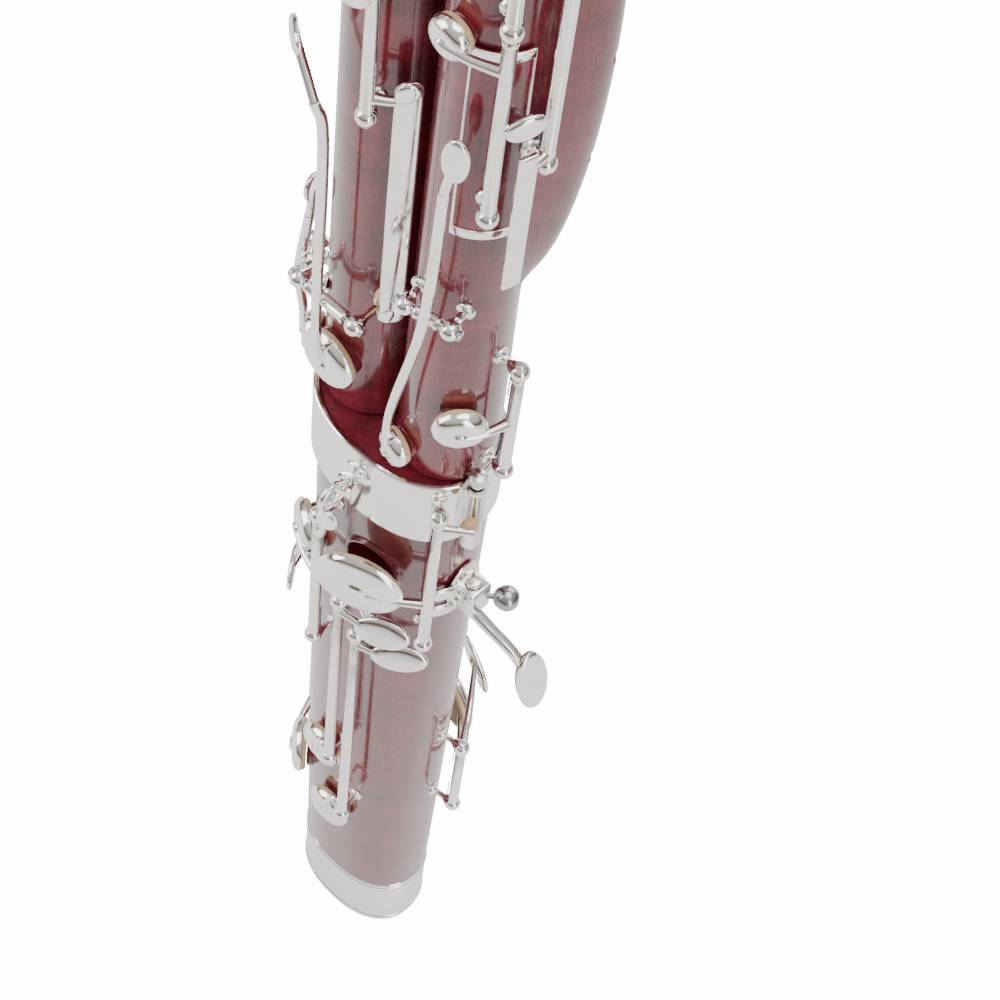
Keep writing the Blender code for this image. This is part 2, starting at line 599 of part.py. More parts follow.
def make_key(name, holder, hinge, low, high, hole=None, touches=(), arms=(), extra=(),
             opens=9.0, stands_open=False, lean=0.0):
    # A key on an upright rod, between the posts at two heights. Lean tips its touches up.
    # Touches: (turn, height, lift, length, width, slant). Arms: lists of points.
    joint, axis = hinge["joint"], hinge["axis"]
    base_low = FEET[joint] + low + POST_BALL + GAP
    base_high = FEET[joint] + high - POST_BALL - GAP
    sleeve = cylinder((axis.x, axis.y, base_low), (axis.x, axis.y, base_high), SLEEVE_RADIUS, 10)
    pieces = [sleeve]
    direction = 1.0
    if hole:
        hole_joint, turn, height, _, cup_radius = HOLES[hole]
        seat = spot(hole_joint, turn, height, PAD_ROOM)
        out = outward(hole_joint, turn, seat.z)
        root_z = min(max(seat.z, base_low + ARM_RADIUS), base_high - ARM_RADIUS)
        root = Vector((axis.x, axis.y, root_z))
        crown = seat + out * CUP_HEIGHT * 0.75
        pieces += [cup(seat, out, cup_radius), wire(arm_path(root, crown, out), ARM_RADIUS)]
        swing = Vector((0, 0, 1)).cross(crown - root)
        direction = 1.0 if swing.dot(out) > 0 else -1.0
    for turn, height, lift, length, width, slant in touches:
        centre = spot(joint, turn, height, lift)
        flat_out = outward(joint, turn, centre.z)
        side = Vector((0, 0, 1)).cross(flat_out)
        out = Matrix.Rotation(math.radians(-lean), 3, side) @ flat_out
        along = Matrix.Rotation(math.radians(slant), 3, out) @ side
        root_z = min(max(centre.z, base_low + ARM_RADIUS), base_high - ARM_RADIUS)
        root = Vector((axis.x, axis.y, root_z))
        pieces.append(touch_piece(centre, out, along, length, width))
        pieces.append(wire(arm_path(root, centre, flat_out), ARM_RADIUS))
    pieces += [wire(points, ARM_RADIUS) for points in arms] + list(extra)
    bore = cylinder((axis.x, axis.y, base_low - 0.1), (axis.x, axis.y, base_high + 0.1), SLEEVE_BORE, 8)
    key = joined(pieces, [bore])
    if stands_open:
        swing = (Matrix.Translation(axis) @ Matrix.Rotation(math.radians(opens * direction), 4, "Z")
                 @ Matrix.Translation(-axis))
        key.data.transform(swing)
    finish(name, key, "silver", (axis.x, axis.y, (base_low + base_high) / 2), holder)
    return key


def make_see_saw(name, holder, hinge, hole, shank, touch):
    # A key that rocks on a rod across the joint: its cup lifts when the far end is pressed.
    out, across, centre = hinge["out"], hinge["across"], hinge["centre"]
    reach = hinge["half_span"] - POST_BALL - GAP
    sleeve = cylinder(centre - across * reach, centre + across * reach, SLEEVE_RADIUS, 10)
    joint, turn, height, _, cup_radius = HOLES[hole]
    seat = spot(joint, turn, height, PAD_ROOM)
    cup_out = outward(joint, turn, seat.z)
    crown = seat + cup_out * CUP_HEIGHT * 0.75
    points = [crown, *shank]
    pieces = [sleeve, wire(points, ARM_RADIUS), cup(seat, cup_out, cup_radius)]
    turn, height, lift, length, width, slant = touch
    middle = spot(joint, turn, height, lift)
    touch_out = outward(joint, turn, middle.z)
    along = Matrix.Rotation(math.radians(slant), 3, touch_out) @ Vector((0, 0, 1)).cross(touch_out)
    pieces += [touch_piece(middle, touch_out, along, length, width), wire([shank[-1], middle], ARM_RADIUS)]
    bore = cylinder(centre - across * 0.05, centre + across * 0.05, SLEEVE_BORE, 8)
    finish(name, joined(pieces, [bore]), "silver", centre, holder)


def make_boot_keys(holder):
    rod = make_hinge("hinge_low_e", holder, "boot", 62, (0.334, 0.433), 0.0100)
    bumper_z = 0.4255
    make_key("low_e_key", holder, rod, 0.334, 0.433, "low_e", opens=14.0, stands_open=True,
             arms=[[Vector((rod["axis"].x, rod["axis"].y, bumper_z)), spot("boot", 73, bumper_z, 0.0168)]])

    rod = make_hinge("hinge_thumb_b_flat", holder, "boot", -19.5, (0.290, 0.388))
    make_key("thumb_b_flat_key", holder, rod, 0.290, 0.388, "thumb_b_flat",
             touches=[(-3.5, 0.4000, 0.0128, 0.014, 0.009, 60)])

    # The two long thumb rods stand side by side, their top posts on one strap.
    pieces, sharp_rod = hinge_pieces("boot", 7, (0.192, 0.338), 0.0100)
    more, flat_rod = hinge_pieces("boot", 24, (0.143, 0.3205), 0.0100)
    start, end = spot("boot", 7, 0.338, 0.0012), spot("boot", 24, 0.3205, 0.0012)
    strap = slab((start + end) / 2, outward("boot", 16, 0.33), end - start, (end - start).length + 0.006,
                 0.005, 0.0012)
    finish("hinge_thumb_pair", joined([strap] + pieces + more), "steel", holder=holder)
    make_key("thumb_f_sharp_key", holder, sharp_rod, 0.192, 0.338, "thumb_f_sharp",
             touches=[(41, 0.3305, 0.0085, 0.023, 0.014, 8)], lean=25)
    make_key("thumb_a_flat_key", holder, flat_rod, 0.143, 0.3205, "thumb_a_flat",
             touches=[(52, 0.3125, 0.0078, 0.023, 0.013, 4)], lean=25)

    rod = make_hinge("hinge_low_f", holder, "boot", 97, (0.143, 0.203), 0.0105)
    make_key("low_f_key", holder, rod, 0.143, 0.203, "low_f", opens=10.0, stands_open=True,
             touches=[(150, 0.207, 0.0100, 0.028, 0.014, 12)])
    rod = make_hinge("hinge_low_g", holder, "boot", -152, (0.205, 0.290), 0.0100)
    make_key("low_g_key", holder, rod, 0.205, 0.290, "low_g", opens=10.0, stands_open=True,
             touches=[(-178, 0.276, 0.0095, 0.020, 0.012, 0)])
    rod = make_hinge("hinge_little_finger", holder, "boot", -95, (0.085, 0.240, 0.352), 0.0100)
    make_key("g_sharp_key", holder, rod, 0.240, 0.352, "g_sharp",
             touches=[(-66, 0.290, 0.0090, 0.022, 0.016, 10)])
    make_key("front_f_sharp_key", holder, rod, 0.085, 0.240, "front_f_sharp",
             touches=[(-128, 0.205, 0.0095, 0.022, 0.012, 0)])


def make_long_keys(holder):
    rod = make_cross_hinge("hinge_low_e_flat", holder, "long", 0, 0.072, 0.0130)
    over = rod["centre"].y - 0.0028
    x = LONG_AXIS_X - 0.002
    shank = [Vector((x, over + 0.001, BOOT_TOP + 0.046)), Vector((x, over, BOOT_TOP + 0.072)),
             Vector((x, over, BOOT_TOP + 0.160)), Vector((x - 0.002, over - 0.0025, BOOT_TOP + 0.180))]
    make_see_saw("low_e_flat_key", holder, rod, "low_e_flat", shank, (-38, 0.192, 0.0135, 0.020, 0.011, 30))

    rod = make_cross_hinge("hinge_low_c_sharp", holder, "long", -62, 0.060, 0.0075, 0.0075)
    bow = [spot("long", turn, height, lift) for turn, height, lift in (
        (-57, 0.034, 0.0085), (-60, 0.048, 0.0105), (-62, 0.060, 0.0103), (-66, 0.082, 0.0085))]
    make_see_saw("low_c_sharp_key", holder, rod, "low_c_sharp", bow, (-72, 0.094, 0.0085, 0.020, 0.011, 60))

    rod = make_hinge("hinge_low_d", holder, "long", 24, (0.182, 0.252), 0.0090)
    _, lever_turn, _, _, cup_radius = HOLES["low_d"]
    lever_top, lever_low = (spot("long", lever_turn, height, 0.0085) for height in (0.195, 0.078))
    lever_root = lever_top - Vector((0, 0, 0.004))
    out = outward("long", lever_turn, lever_top.z)
    lever_span = (lever_top - lever_low).length
    lever = slab((lever_top + lever_low) / 2, out, (0, 0, 1), lever_span, 0.0085, TOUCH_THICKNESS, 4)
    tip_width = cup_radius * 1.43
    tip = slab(lever_low, out, (0, 0, 1), tip_width, tip_width, 0.0027, 12)
    make_key("low_d_key", holder, rod, 0.182, 0.252, touches=[(4, 0.236, 0.0100, 0.020, 0.014, 0)],
             arms=[[Vector((rod["axis"].x, rod["axis"].y, lever_root.z)), lever_root]], extra=[lever, tip])

    rod = make_hinge("hinge_low_c_b", holder, "long", -55, (0.262, 0.402, 0.520), 0.0090)
    make_key("low_c_key", holder, rod, 0.262, 0.402, "low_c", opens=11.0, stands_open=True,
             touches=[(-14, 0.272, 0.0105, 0.026, 0.014, 0)])
    make_key("low_b_key", holder, rod, 0.402, 0.520, "low_b", opens=11.0, stands_open=True,
             touches=[(-22, 0.436, 0.0100, 0.018, 0.012, 0)])

    lever_head = LONG_LENGTH - BELL_TENON_LENGTH - BRIDGE_DROP
    rod = make_hinge("hinge_low_b_flat", holder, "long", 46, (0.292, lever_head), 0.0090)
    axis = rod["axis"]
    bridge_z = BOOT_TOP + lever_head - 0.007
    make_key("low_b_flat_lever", holder, rod, 0.292, lever_head, opens=11.0, stands_open=True,
             touches=[(22, 0.303, 0.0110, 0.020, 0.013, 0)],
             arms=[[axis + Vector(step) for step in (
                 (0, 0, bridge_z - 0.004), (0.004, -0.006, bridge_z), (0.004, -0.007, bridge_z + 0.050))]])
    return axis


def make_bell_keys(holder, axis):
    rod = make_hinge("hinge_bell_b_flat", holder, "bell", 43, (0.055, 0.175), at=axis)
    make_key("bell_b_flat_key", holder, rod, 0.055, 0.175, "bell_b_flat", opens=11.0, stands_open=True,
             arms=[[Vector((axis.x, axis.y, BELL_FLOOR + 0.066)),
                    Vector((axis.x - 0.006, axis.y - 0.006, BELL_FLOOR + 0.060)),
                    Vector((axis.x - 0.002, axis.y - 0.0075, BELL_FLOOR + 0.040))]])


def make_wing_keys(holder):
    rod = make_cross_hinge("hinge_wing_c_sharp", holder, "wing", 12, 0.108, 0.0085, 0.0075)
    centre = rod["centre"]
    shank = [spot("wing", -13, 0.040, 0.0080), centre + rod["out"] * 0.0028, spot("wing", 17, 0.180, 0.0110)]
    make_see_saw("wing_c_sharp_key", holder, rod, "wing_c_sharp", shank,
                 (22, 0.196, 0.0110, 0.020, 0.009, 90))

    rod = make_hinge("hinge_wing_vent", holder, "wing", 90, (0.010, 0.074), 0.0085)
    make_key("wing_vent_key", holder, rod, 0.010, 0.074, "wing_vent")

    saddle_foot = 3 * GAP + SADDLE_THICKNESS
    rod = make_hinge("hinge_whisper", holder, "wing", 84, (0.190, 0.430), 0.0100, saddle_foot)
    axis = rod["axis"]
    strip_turn, strip_lift, strip_width = 66, 0.0095, 0.0066
    strip_top, strip_low = (spot("wing", strip_turn, height, strip_lift) for height in (0.200, 0.134))
    strip = slab((strip_top + strip_low) / 2, outward("wing", strip_turn, strip_top.z), (0, 0, 1),
                 (strip_top - strip_low).length, strip_width, 0.0020, 4)
    strip_root = strip_top - Vector((0, 0, 0.0045))
    nib_z, nib_y = WING_TOP + NIB_RISE, -BOCAL_BASE_RADIUS - NIB_LENGTH - 0.0015
    pad = cup((WING_AXIS_X, nib_y, nib_z), (0, -1, 0), 0.0035)
    top = Vector((axis.x, axis.y, BOOT_TOP + 0.4197))
    clear = Vector((0.0075, 0, 0))
    make_key("whisper_key", holder, rod, 0.190, 0.430, opens=8.0, stands_open=True,
             arms=[[Vector((axis.x, axis.y, strip_root.z)), strip_root],
                   [top, top + clear, top + clear + Vector((0, 0, 0.030)),
                    Vector((WING_AXIS_X + 0.011, nib_y - 0.0030, nib_z + 0.0003)),
                    Vector((WING_AXIS_X + 0.0005, nib_y - 0.0025, nib_z + 0.0003))]],
             extra=[strip, pad])

    rod = make_hinge("hinge_high_keys", holder, "wing", 46, (0.170, 0.256, 0.372), 0.0100, saddle_foot)
    make_key("high_a_key", holder, rod, 0.170, 0.256, "high_a",
             touches=[(62, 0.214, 0.0110, 0.013, 0.010, 30)])
    make_key("high_c_key", holder, rod, 0.256, 0.372, "high_c",
             touches=[(60, 0.318, 0.0100, 0.012, 0.010, 0)])


def make_ferrule(holder):
    # The band with the strap lug and the whisper pin's guide tube brazed on.
    floor = BOOT_HEIGHT - FERRULE_HEIGHT
    outer, inner = half_axes(BOOT_HEIGHT, GAP + FERRULE_WALL), half_axes(BOOT_HEIGHT, GAP)
    band = oval_prism(floor, BOOT_HEIGHT, outer, outer)
    inside = oval_prism(floor - 0.01, BOOT_HEIGHT + 0.01, inner, inner)

    out = outward("boot", LUG_TURN, BOOT_HEIGHT)
    skin = spot("boot", LUG_TURN, BOOT_HEIGHT, GAP + FERRULE_WALL)
    foot = Vector((skin.x, skin.y, BOOT_HEIGHT - LUG_DROP))
    eye = foot + out * LUG_REACH
    side = Vector((0, 0, 1)).cross(out)
    half = Vector((0, 0, 0.0022))
    lug = [slab(foot + out * 0.0002, out, side, 0.012, 0.008, 0.0020, 12),
           cylinder(foot, eye, 0.0019, 10), cylinder(eye - half, eye + half, 0.0040, 14)]
    eye_hole = cylinder(eye - half * 4, eye + half * 4, RING_WIRE + 2 * GAP + 0.0004, 10)

    out = outward("boot", PIN_TURN, BOOT_HEIGHT)
    centre = spot("boot", PIN_TURN, BOOT_HEIGHT, GAP + FERRULE_WALL + GUIDE_RADIUS - 0.0005)
    low, high = centre - Vector((0, 0, GUIDE_LENGTH)), centre + Vector((0, 0, 0.003))
    guide_end = ball(low + Vector((0, 0, 0.0006)), GUIDE_RADIUS - 0.00015, 12, 6)
    guide = [cylinder(low, high, GUIDE_RADIUS, 12), guide_end]
    guide_bore = cylinder(low + Vector((0, 0, 0.006)), high + Vector((0, 0, 0.01)), PIN_RADIUS + PIN_PLAY, 10)
    ferrule = joined([band], [inside])
    finish("boot_ferrule", joined([ferrule, *lug, *guide], [eye_hole, guide_bore]), "silver", holder=holder)
    return eye, centre


def make_fittings(holder, eye, pin_centre):
    out = outward("boot", LUG_TURN, BOOT_HEIGHT)
    side = Vector((0, 0, 1)).cross(out)
    ring = turned([(RING_RADIUS + RING_WIRE * math.cos(angle), -RING_WIRE * math.sin(angle))
                   for angle in (2 * math.pi * step / 6 for step in range(6))], 18,
                  Matrix.Translation(eye + out * RING_RADIUS) @ facing(side), ring=True)
    finish("strap_ring", ring, "silver", eye, holder)

    # Hand rest: plate with its holder, crutch and thumbscrew.
    out = outward("boot", REST_TURN, REST_HEIGHT)
    side = Vector((0, 0, 1)).cross(out)
    skin = spot("boot", REST_TURN, REST_HEIGHT, GAP)
    plate = slab(skin + out * REST_PLATE[2] / 2, out, side, *REST_PLATE, 16)
    socket_centre = skin + out * REST_BLOCK_LIFT
    block = slab(socket_centre, out, side, *REST_BLOCK, 4)
    ears, roots = [], []
    for lean in (REST_EAR_SPREAD, -REST_EAR_SPREAD):
        ear = spot("boot", REST_EAR_TURN, REST_HEIGHT + lean, REST_EAR_LIFT)
        ears.append(slab(ear, outward("boot", REST_EAR_TURN, REST_HEIGHT), side, 0.012, 0.0075, 0.0018, 12))
        roots.append(cylinder(skin + out * 0.002 + Vector((0, 0, lean)), ear, 0.0017, 8))
    socket = cylinder(socket_centre - Vector((0, 0, 0.02)), socket_centre + Vector((0, 0, 0.02)),
                      REST_STEM_RADIUS + GAP, 14)
    screw_way = (out * REST_SCREW_SLANT[0] + side * REST_SCREW_SLANT[1]).normalized()
    screw_hole = cylinder(socket_centre, socket_centre + screw_way * 0.02, REST_SCREW_RADIUS + GAP, 10)
    base = joined([plate, block, *ears, *roots], [socket, screw_hole])
    finish("hand_rest_holder", base, "silver", holder=holder)
    stem = cylinder(socket_centre - Vector((0, 0, 0.013)), socket_centre + Vector((0, 0, 0.012)),
                    REST_STEM_RADIUS, 14)
    bow = smooth_path([socket_centre + Vector(step) for step in (
        (0, 0, -0.011), (0.010, 0.001, -0.016), (0.023, 0.003, -0.024), (0.031, 0.005, -0.040))], 3)
    arc = wire(bow, 0.0026)
    pad = slab(bow[-1] + Vector((0, 0, 0.004)), (0.93, -0.25, 0.30), (0, 0, 1), 0.032, 0.014, 0.0030)
    finish("hand_rest_crutch", joined([stem, arc, pad]), "silver", socket_centre, holder)
    screw_start = socket_centre + screw_way * (REST_STEM_RADIUS + GAP)
    shaft = cylinder(screw_start, screw_start + screw_way * 0.008, REST_SCREW_RADIUS, 10)
    head = ball(screw_start + screw_way * 0.0100, REST_SCREW_HEAD, 12, 7)
    finish("hand_rest_screw", joined([shaft, head]), "steel", screw_start, holder)

    # Pin that carries the low E key's push up to the wing joint.
    low = pin_centre - Vector((0, 0, GUIDE_LENGTH - 0.010))
    pin = cylinder(low, pin_centre + Vector((0, 0, 0.005)), PIN_RADIUS, 10)
    head = ball(pin_centre + Vector((0, 0, 0.0072)), 0.0034, 10, 6)
    finish("whisper_pin", joined([pin, head]), "steel", pin_centre, holder)

    lock_z = BOOT_TOP + LOCK_HEIGHT
    out = outward("long", LOCK_TURN, lock_z)
    centre = spot("long", LOCK_TURN, LOCK_HEIGHT, LOCK_LIFT)
    height = Vector((0, 0, 1))
    block = slab(centre - out * 0.0018, out, height, 0.020, 0.008, 0.0056, 4)
    barrel = cylinder(centre - height * 0.010, centre + height * 0.010, LOCK_BARREL_RADIUS, 14)
    bore = cylinder(centre - height * 0.030, centre + height * 0.030, LOCK_PIN_RADIUS + GAP, 12)
    finish("joint_lock_base", joined([barrel, block], [bore]), "silver", holder=holder)
    pin = cylinder(centre - height * 0.013, centre + height * 0.019, LOCK_PIN_RADIUS, 12)
    knob = cylinder(centre + height * 0.018, centre + height * 0.023, LOCK_BARREL_RADIUS, 14)
    finish("joint_lock_pin", joined([pin, knob]), "steel", centre, holder)


# ---------------------------------------------------------------- scene

def make_paint(name, colour, roughness, metallic):
    paint = bpy.data.materials.new(name)
    paint.use_nodes = True
    shader = paint.node_tree.nodes["Principled BSDF"]
    shader.inputs["Base Color"].default_value = (*colour, 1.0)
    shader.inputs["Roughness"].default_value = roughness
    shader.inputs["Metallic"].default_value = metallic
    paint.diffuse_color = (*colour, 1.0)
    paints[name] = paint


def make_holder(name):
    holder = bpy.data.objects.new(name, None)
    collection.objects.link(holder)
    return holder


def main():
    global collection, cutters
    for item in list(bpy.data.objects):
        bpy.data.objects.remove(item)
    collection = bpy.data.collections.new("bassoon")
    cutters = bpy.data.collections.new("cutters")
    for group in (collection, cutters):
        bpy.context.scene.collection.children.link(group)
    for name, colour, roughness, metallic in (
            ("wood", (0.19, 0.030, 0.034), 0.22, 0.0), ("silver", (0.92, 0.91, 0.88), 0.12, 1.0),
            ("steel", (0.62, 0.61, 0.60), 0.25, 1.0), ("cork", (0.62, 0.42, 0.24), 0.85, 0.0),
            ("rim", (0.90, 0.87, 0.80), 0.20, 1.0), ("bocal", (0.93, 0.90, 0.84), 0.10, 1.0),
            ("cane", (0.80, 0.62, 0.32), 0.60, 0.0)):
        make_paint(name, colour, roughness, metallic)
    boot, wing, long_joint = make_holder("boot"), make_holder("wing_joint"), make_holder("long_joint")
    bell, crook = make_holder("bell"), make_holder("crook")
    make_boot(boot)
    make_wing(wing)
    make_long(long_joint)
    make_bell(bell)
    make_crook(crook)
    eye, pin_centre = make_ferrule(boot)
    make_fittings(boot, eye, pin_centre)
    make_boot_keys(boot)
    make_wing_keys(wing)
    lever_axis = make_long_keys(long_joint)
    make_bell_keys(bell, lever_axis)


main()
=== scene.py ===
import math
import bpy
from mathutils import Matrix, Vector


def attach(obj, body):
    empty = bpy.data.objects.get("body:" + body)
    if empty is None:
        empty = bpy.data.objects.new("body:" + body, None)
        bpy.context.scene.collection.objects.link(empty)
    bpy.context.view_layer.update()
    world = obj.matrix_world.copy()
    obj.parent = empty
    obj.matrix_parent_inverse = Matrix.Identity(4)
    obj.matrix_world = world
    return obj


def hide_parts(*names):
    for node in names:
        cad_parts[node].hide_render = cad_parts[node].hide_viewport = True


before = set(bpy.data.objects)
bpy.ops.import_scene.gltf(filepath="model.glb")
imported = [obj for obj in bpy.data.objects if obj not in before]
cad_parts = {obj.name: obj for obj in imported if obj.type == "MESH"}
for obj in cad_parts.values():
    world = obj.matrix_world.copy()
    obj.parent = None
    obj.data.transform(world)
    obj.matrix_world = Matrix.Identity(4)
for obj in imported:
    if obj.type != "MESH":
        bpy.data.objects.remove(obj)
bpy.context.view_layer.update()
print("frame loaded:", len(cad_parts), "nodes")

# Where things are on the bassoon.
# A turn is degrees round a joint: 0 faces -Y, 90 faces +X, 180 faces +Y.

boot = {"height": 0.440, "topWidth": 0.0360, "topDepth": 0.0260, "footWidth": 0.0312, "footDepth": 0.0222,
        "power": 2.3, "capHeight": 0.045}
tubes = {
    "wing": {"axisX": 0.0184, "foot": 0.440, "length": 0.465, "low": 0.0184, "high": 0.0138},
    "long": {"axisX": -0.0186, "foot": 0.440, "length": 0.605, "low": 0.0182, "high": 0.0178},
    "bell": {"axisX": -0.0186, "foot": 1.011, "length": 0.330, "low": 0.0205, "high": 0.0230},
}
toneHoles = {  # joint, turn, height over the joint's foot, hole radius, cup radius
    "lowE": ("boot", 22, 0.366, 0.0110, 0.0180),
    "thumbBFlat": ("boot", -52, 0.342, 0.0070, 0.0120),
    "thumbFSharp": ("boot", -17, 0.176, 0.0070, 0.0115),
    "thumbAFlat": ("boot", -3, 0.118, 0.0070, 0.0115),
    "lowF": ("boot", 158, 0.170, 0.0100, 0.0165),
    "lowG": ("boot", 176, 0.236, 0.0085, 0.0140),
    "gSharp": ("boot", -128, 0.330, 0.0080, 0.0125),
    "frontFSharp": ("boot", -62, 0.125, 0.0080, 0.0130),
    "lowEFlat": ("long", -4, 0.031, 0.0075, 0.0125),
    "lowCSharp": ("long", -55, 0.020, 0.0045, 0.0080),
    "lowD": ("long", 50, 0.080, 0.0040, 0.0065),
    "lowC": ("long", -8, 0.362, 0.0100, 0.0160),
    "lowB": ("long", -8, 0.492, 0.0105, 0.0165),
    "bellBFlat": ("bell", -8, 0.165, 0.0110, 0.0170),
    "wingCSharp": ("wing", -15, 0.011, 0.0040, 0.0078),
    "wingVent": ("wing", 48, 0.042, 0.0050, 0.0098),
    "highA": ("wing", -2, 0.238, 0.0035, 0.0075),
    "highC": ("wing", -2, 0.330, 0.0035, 0.0075),
}
fingerHoles = {
    "boot": ((157, 0.392, 0.0038), (163, 0.352, 0.0038), (168, 0.300, 0.0042)),
    "wing": ((128, 0.175, 0.0032), (128, 0.222, 0.0032), (128, 0.270, 0.0035)),
}
keywork = {"gap": 0.0003, "rod": 0.0012, "sleeve": 0.0023, "ball": 0.0036, "shaft": 0.0015, "arm": 0.0017,
           "padRoom": 0.0040, "cupHeight": 0.0042, "touch": 0.0022, "lift": 0.0095, "ferrule": 0.0017,
           "saddle": 0.0012, "screw": 0.0019}
up = Vector((0.0, 0.0, 1.0))


def between(low, high, share):
    return low + (high - low) * share


def bootAxes(height, grow=0.0):
    share = height / boot["height"]
    return (between(boot["footWidth"], boot["topWidth"], share) + grow,
            between(boot["footDepth"], boot["topDepth"], share) + grow)


def ovalPoint(turn, width, depth):
    side, front = math.sin(math.radians(turn)), -math.cos(math.radians(turn))
    power = boot["power"]
    reach = (abs(side / width) ** power + abs(front / depth) ** power) ** (-1 / power)
    return reach * side, reach * front


def outward(joint, turn, level):
    side, front = math.sin(math.radians(turn)), -math.cos(math.radians(turn))
    if joint != "boot":
        return Vector((side, front, 0.0))
    width, depth = bootAxes(level)
    x, y = ovalPoint(turn, width, depth)
    slopeX = math.copysign(abs(x / width) ** (boot["power"] - 1) / width, x)
    slopeY = math.copysign(abs(y / depth) ** (boot["power"] - 1) / depth, y)
    return Vector((slopeX, slopeY, 0.0)).normalized()


def foot(joint):
    return 0.0 if joint == "boot" else tubes[joint]["foot"]


def topOf(joint):
    return tubes[joint]["foot"] + tubes[joint]["length"]


def tubeAt(joint):
    return Matrix.Translation((tubes[joint]["axisX"], 0, 0))


def tubeRadius(joint, level):
    tube = tubes[joint]
    return between(tube["low"], tube["high"], (level - tube["foot"]) / tube["length"])


def spot(joint, turn, height, lift=0.0):
    level = foot(joint) + height
    out = outward(joint, turn, level)
    if joint == "boot":
        x, y = ovalPoint(turn, *bootAxes(level))
        return Vector((x, y, level)) + out * lift
    return Vector((tubes[joint]["axisX"], 0.0, level)) + out * (tubeRadius(joint, level) + lift)


def facing(direction, along=None):
    z = Vector(direction).normalized()
    if along is None:
        return z.to_track_quat("Z", "Y").to_matrix().to_4x4()
    x = (Vector(along) - z * Vector(along).dot(z)).normalized()
    return Matrix((x, z.cross(x), z)).transposed().to_4x4()


# Shader groups, built once.

def newGroup(name, inputs, outputs):
    group = bpy.data.node_groups.new(name, "ShaderNodeTree")
    for label, kind, value in inputs:
        socket = group.interface.new_socket(label, in_out="INPUT", socket_type=kind)
        if value is not None:
            socket.default_value = value
    for label, kind in outputs:
        group.interface.new_socket(label, in_out="OUTPUT", socket_type=kind)
    return group, group.nodes.new("NodeGroupInput"), group.nodes.new("NodeGroupOutput")


def addNode(tree, kind, **settings):
    node = tree.nodes.new(kind)
    for label, value in settings.items():
        if hasattr(node, label):
            setattr(node, label, value)
        else:
            node.inputs[label].default_value = value
    return node


def stops(ramp, *marks):
    elements = ramp.color_ramp.elements
    while len(elements) < len(marks):
        elements.new(0.5)
    for element, (place, shade) in zip(elements, marks):
        element.position = place
        element.color = (*shade, 1.0) if isinstance(shade, tuple) else (shade, shade, shade, 1.0)


def makeGrainGroup():
    group, enter, leave = newGroup("grain", [("Vector", "NodeSocketVector", None),
                                             ("Dark", "NodeSocketColor", (0.05, 0.01, 0.01, 1)),
                                             ("Light", "NodeSocketColor", (0.3, 0.05, 0.05, 1)),
                                             ("Fibre", "NodeSocketFloat", 900.0),
                                             ("Figure", "NodeSocketFloat", 0.35)],
                                   [("Colour", "NodeSocketColor"), ("Height", "NodeSocketFloat")])
    link = group.links.new
    stretch = addNode(group, "ShaderNodeVectorMath", operation="MULTIPLY")
    stretch.inputs[1].default_value = (1.0, 1.0, 0.045)  # fibres run up the tube
    link(enter.outputs["Vector"], stretch.inputs[0])
    fibre = addNode(group, "ShaderNodeTexNoise", Detail=6.0, Roughness=0.62)
    link(stretch.outputs[0], fibre.inputs["Vector"])
    link(enter.outputs["Fibre"], fibre.inputs["Scale"])
    broad = addNode(group, "ShaderNodeTexNoise", Scale=95.0, Detail=4.0, Roughness=0.55, Distortion=0.6)
    link(stretch.outputs[0], broad.inputs["Vector"])
    flame = addNode(group, "ShaderNodeTexNoise", Scale=34.0, Detail=2.0, Roughness=0.5, Distortion=0.35)
    squat = addNode(group, "ShaderNodeVectorMath", operation="MULTIPLY")
    squat.inputs[1].default_value = (0.55, 0.55, 2.6)  # figure lies across the fibres
    link(enter.outputs["Vector"], squat.inputs[0])
    link(squat.outputs[0], flame.inputs["Vector"])
    mixed = addNode(group, "ShaderNodeMix", data_type="FLOAT")
    mixed.inputs[0].default_value = 0.55
    link(fibre.outputs["Fac"], mixed.inputs[2])
    link(broad.outputs["Fac"], mixed.inputs[3])
    figured = addNode(group, "ShaderNodeMix", data_type="FLOAT")
    link(enter.outputs["Figure"], figured.inputs[0])
    link(mixed.outputs[0], figured.inputs[2])
    link(flame.outputs["Fac"], figured.inputs[3])
    spread = addNode(group, "ShaderNodeMapRange")
    spread.inputs["From Min"].default_value = 0.36
    spread.inputs["From Max"].default_value = 0.64
    link(figured.outputs[0], spread.inputs["Value"])
    tint = addNode(group, "ShaderNodeMix", data_type="RGBA")
    link(spread.outputs[0], tint.inputs[0])
    link(enter.outputs["Dark"], tint.inputs[6])
    link(enter.outputs["Light"], tint.inputs[7])
    link(tint.outputs[2], leave.inputs["Colour"])
    link(fibre.outputs["Fac"], leave.inputs["Height"])
    return group


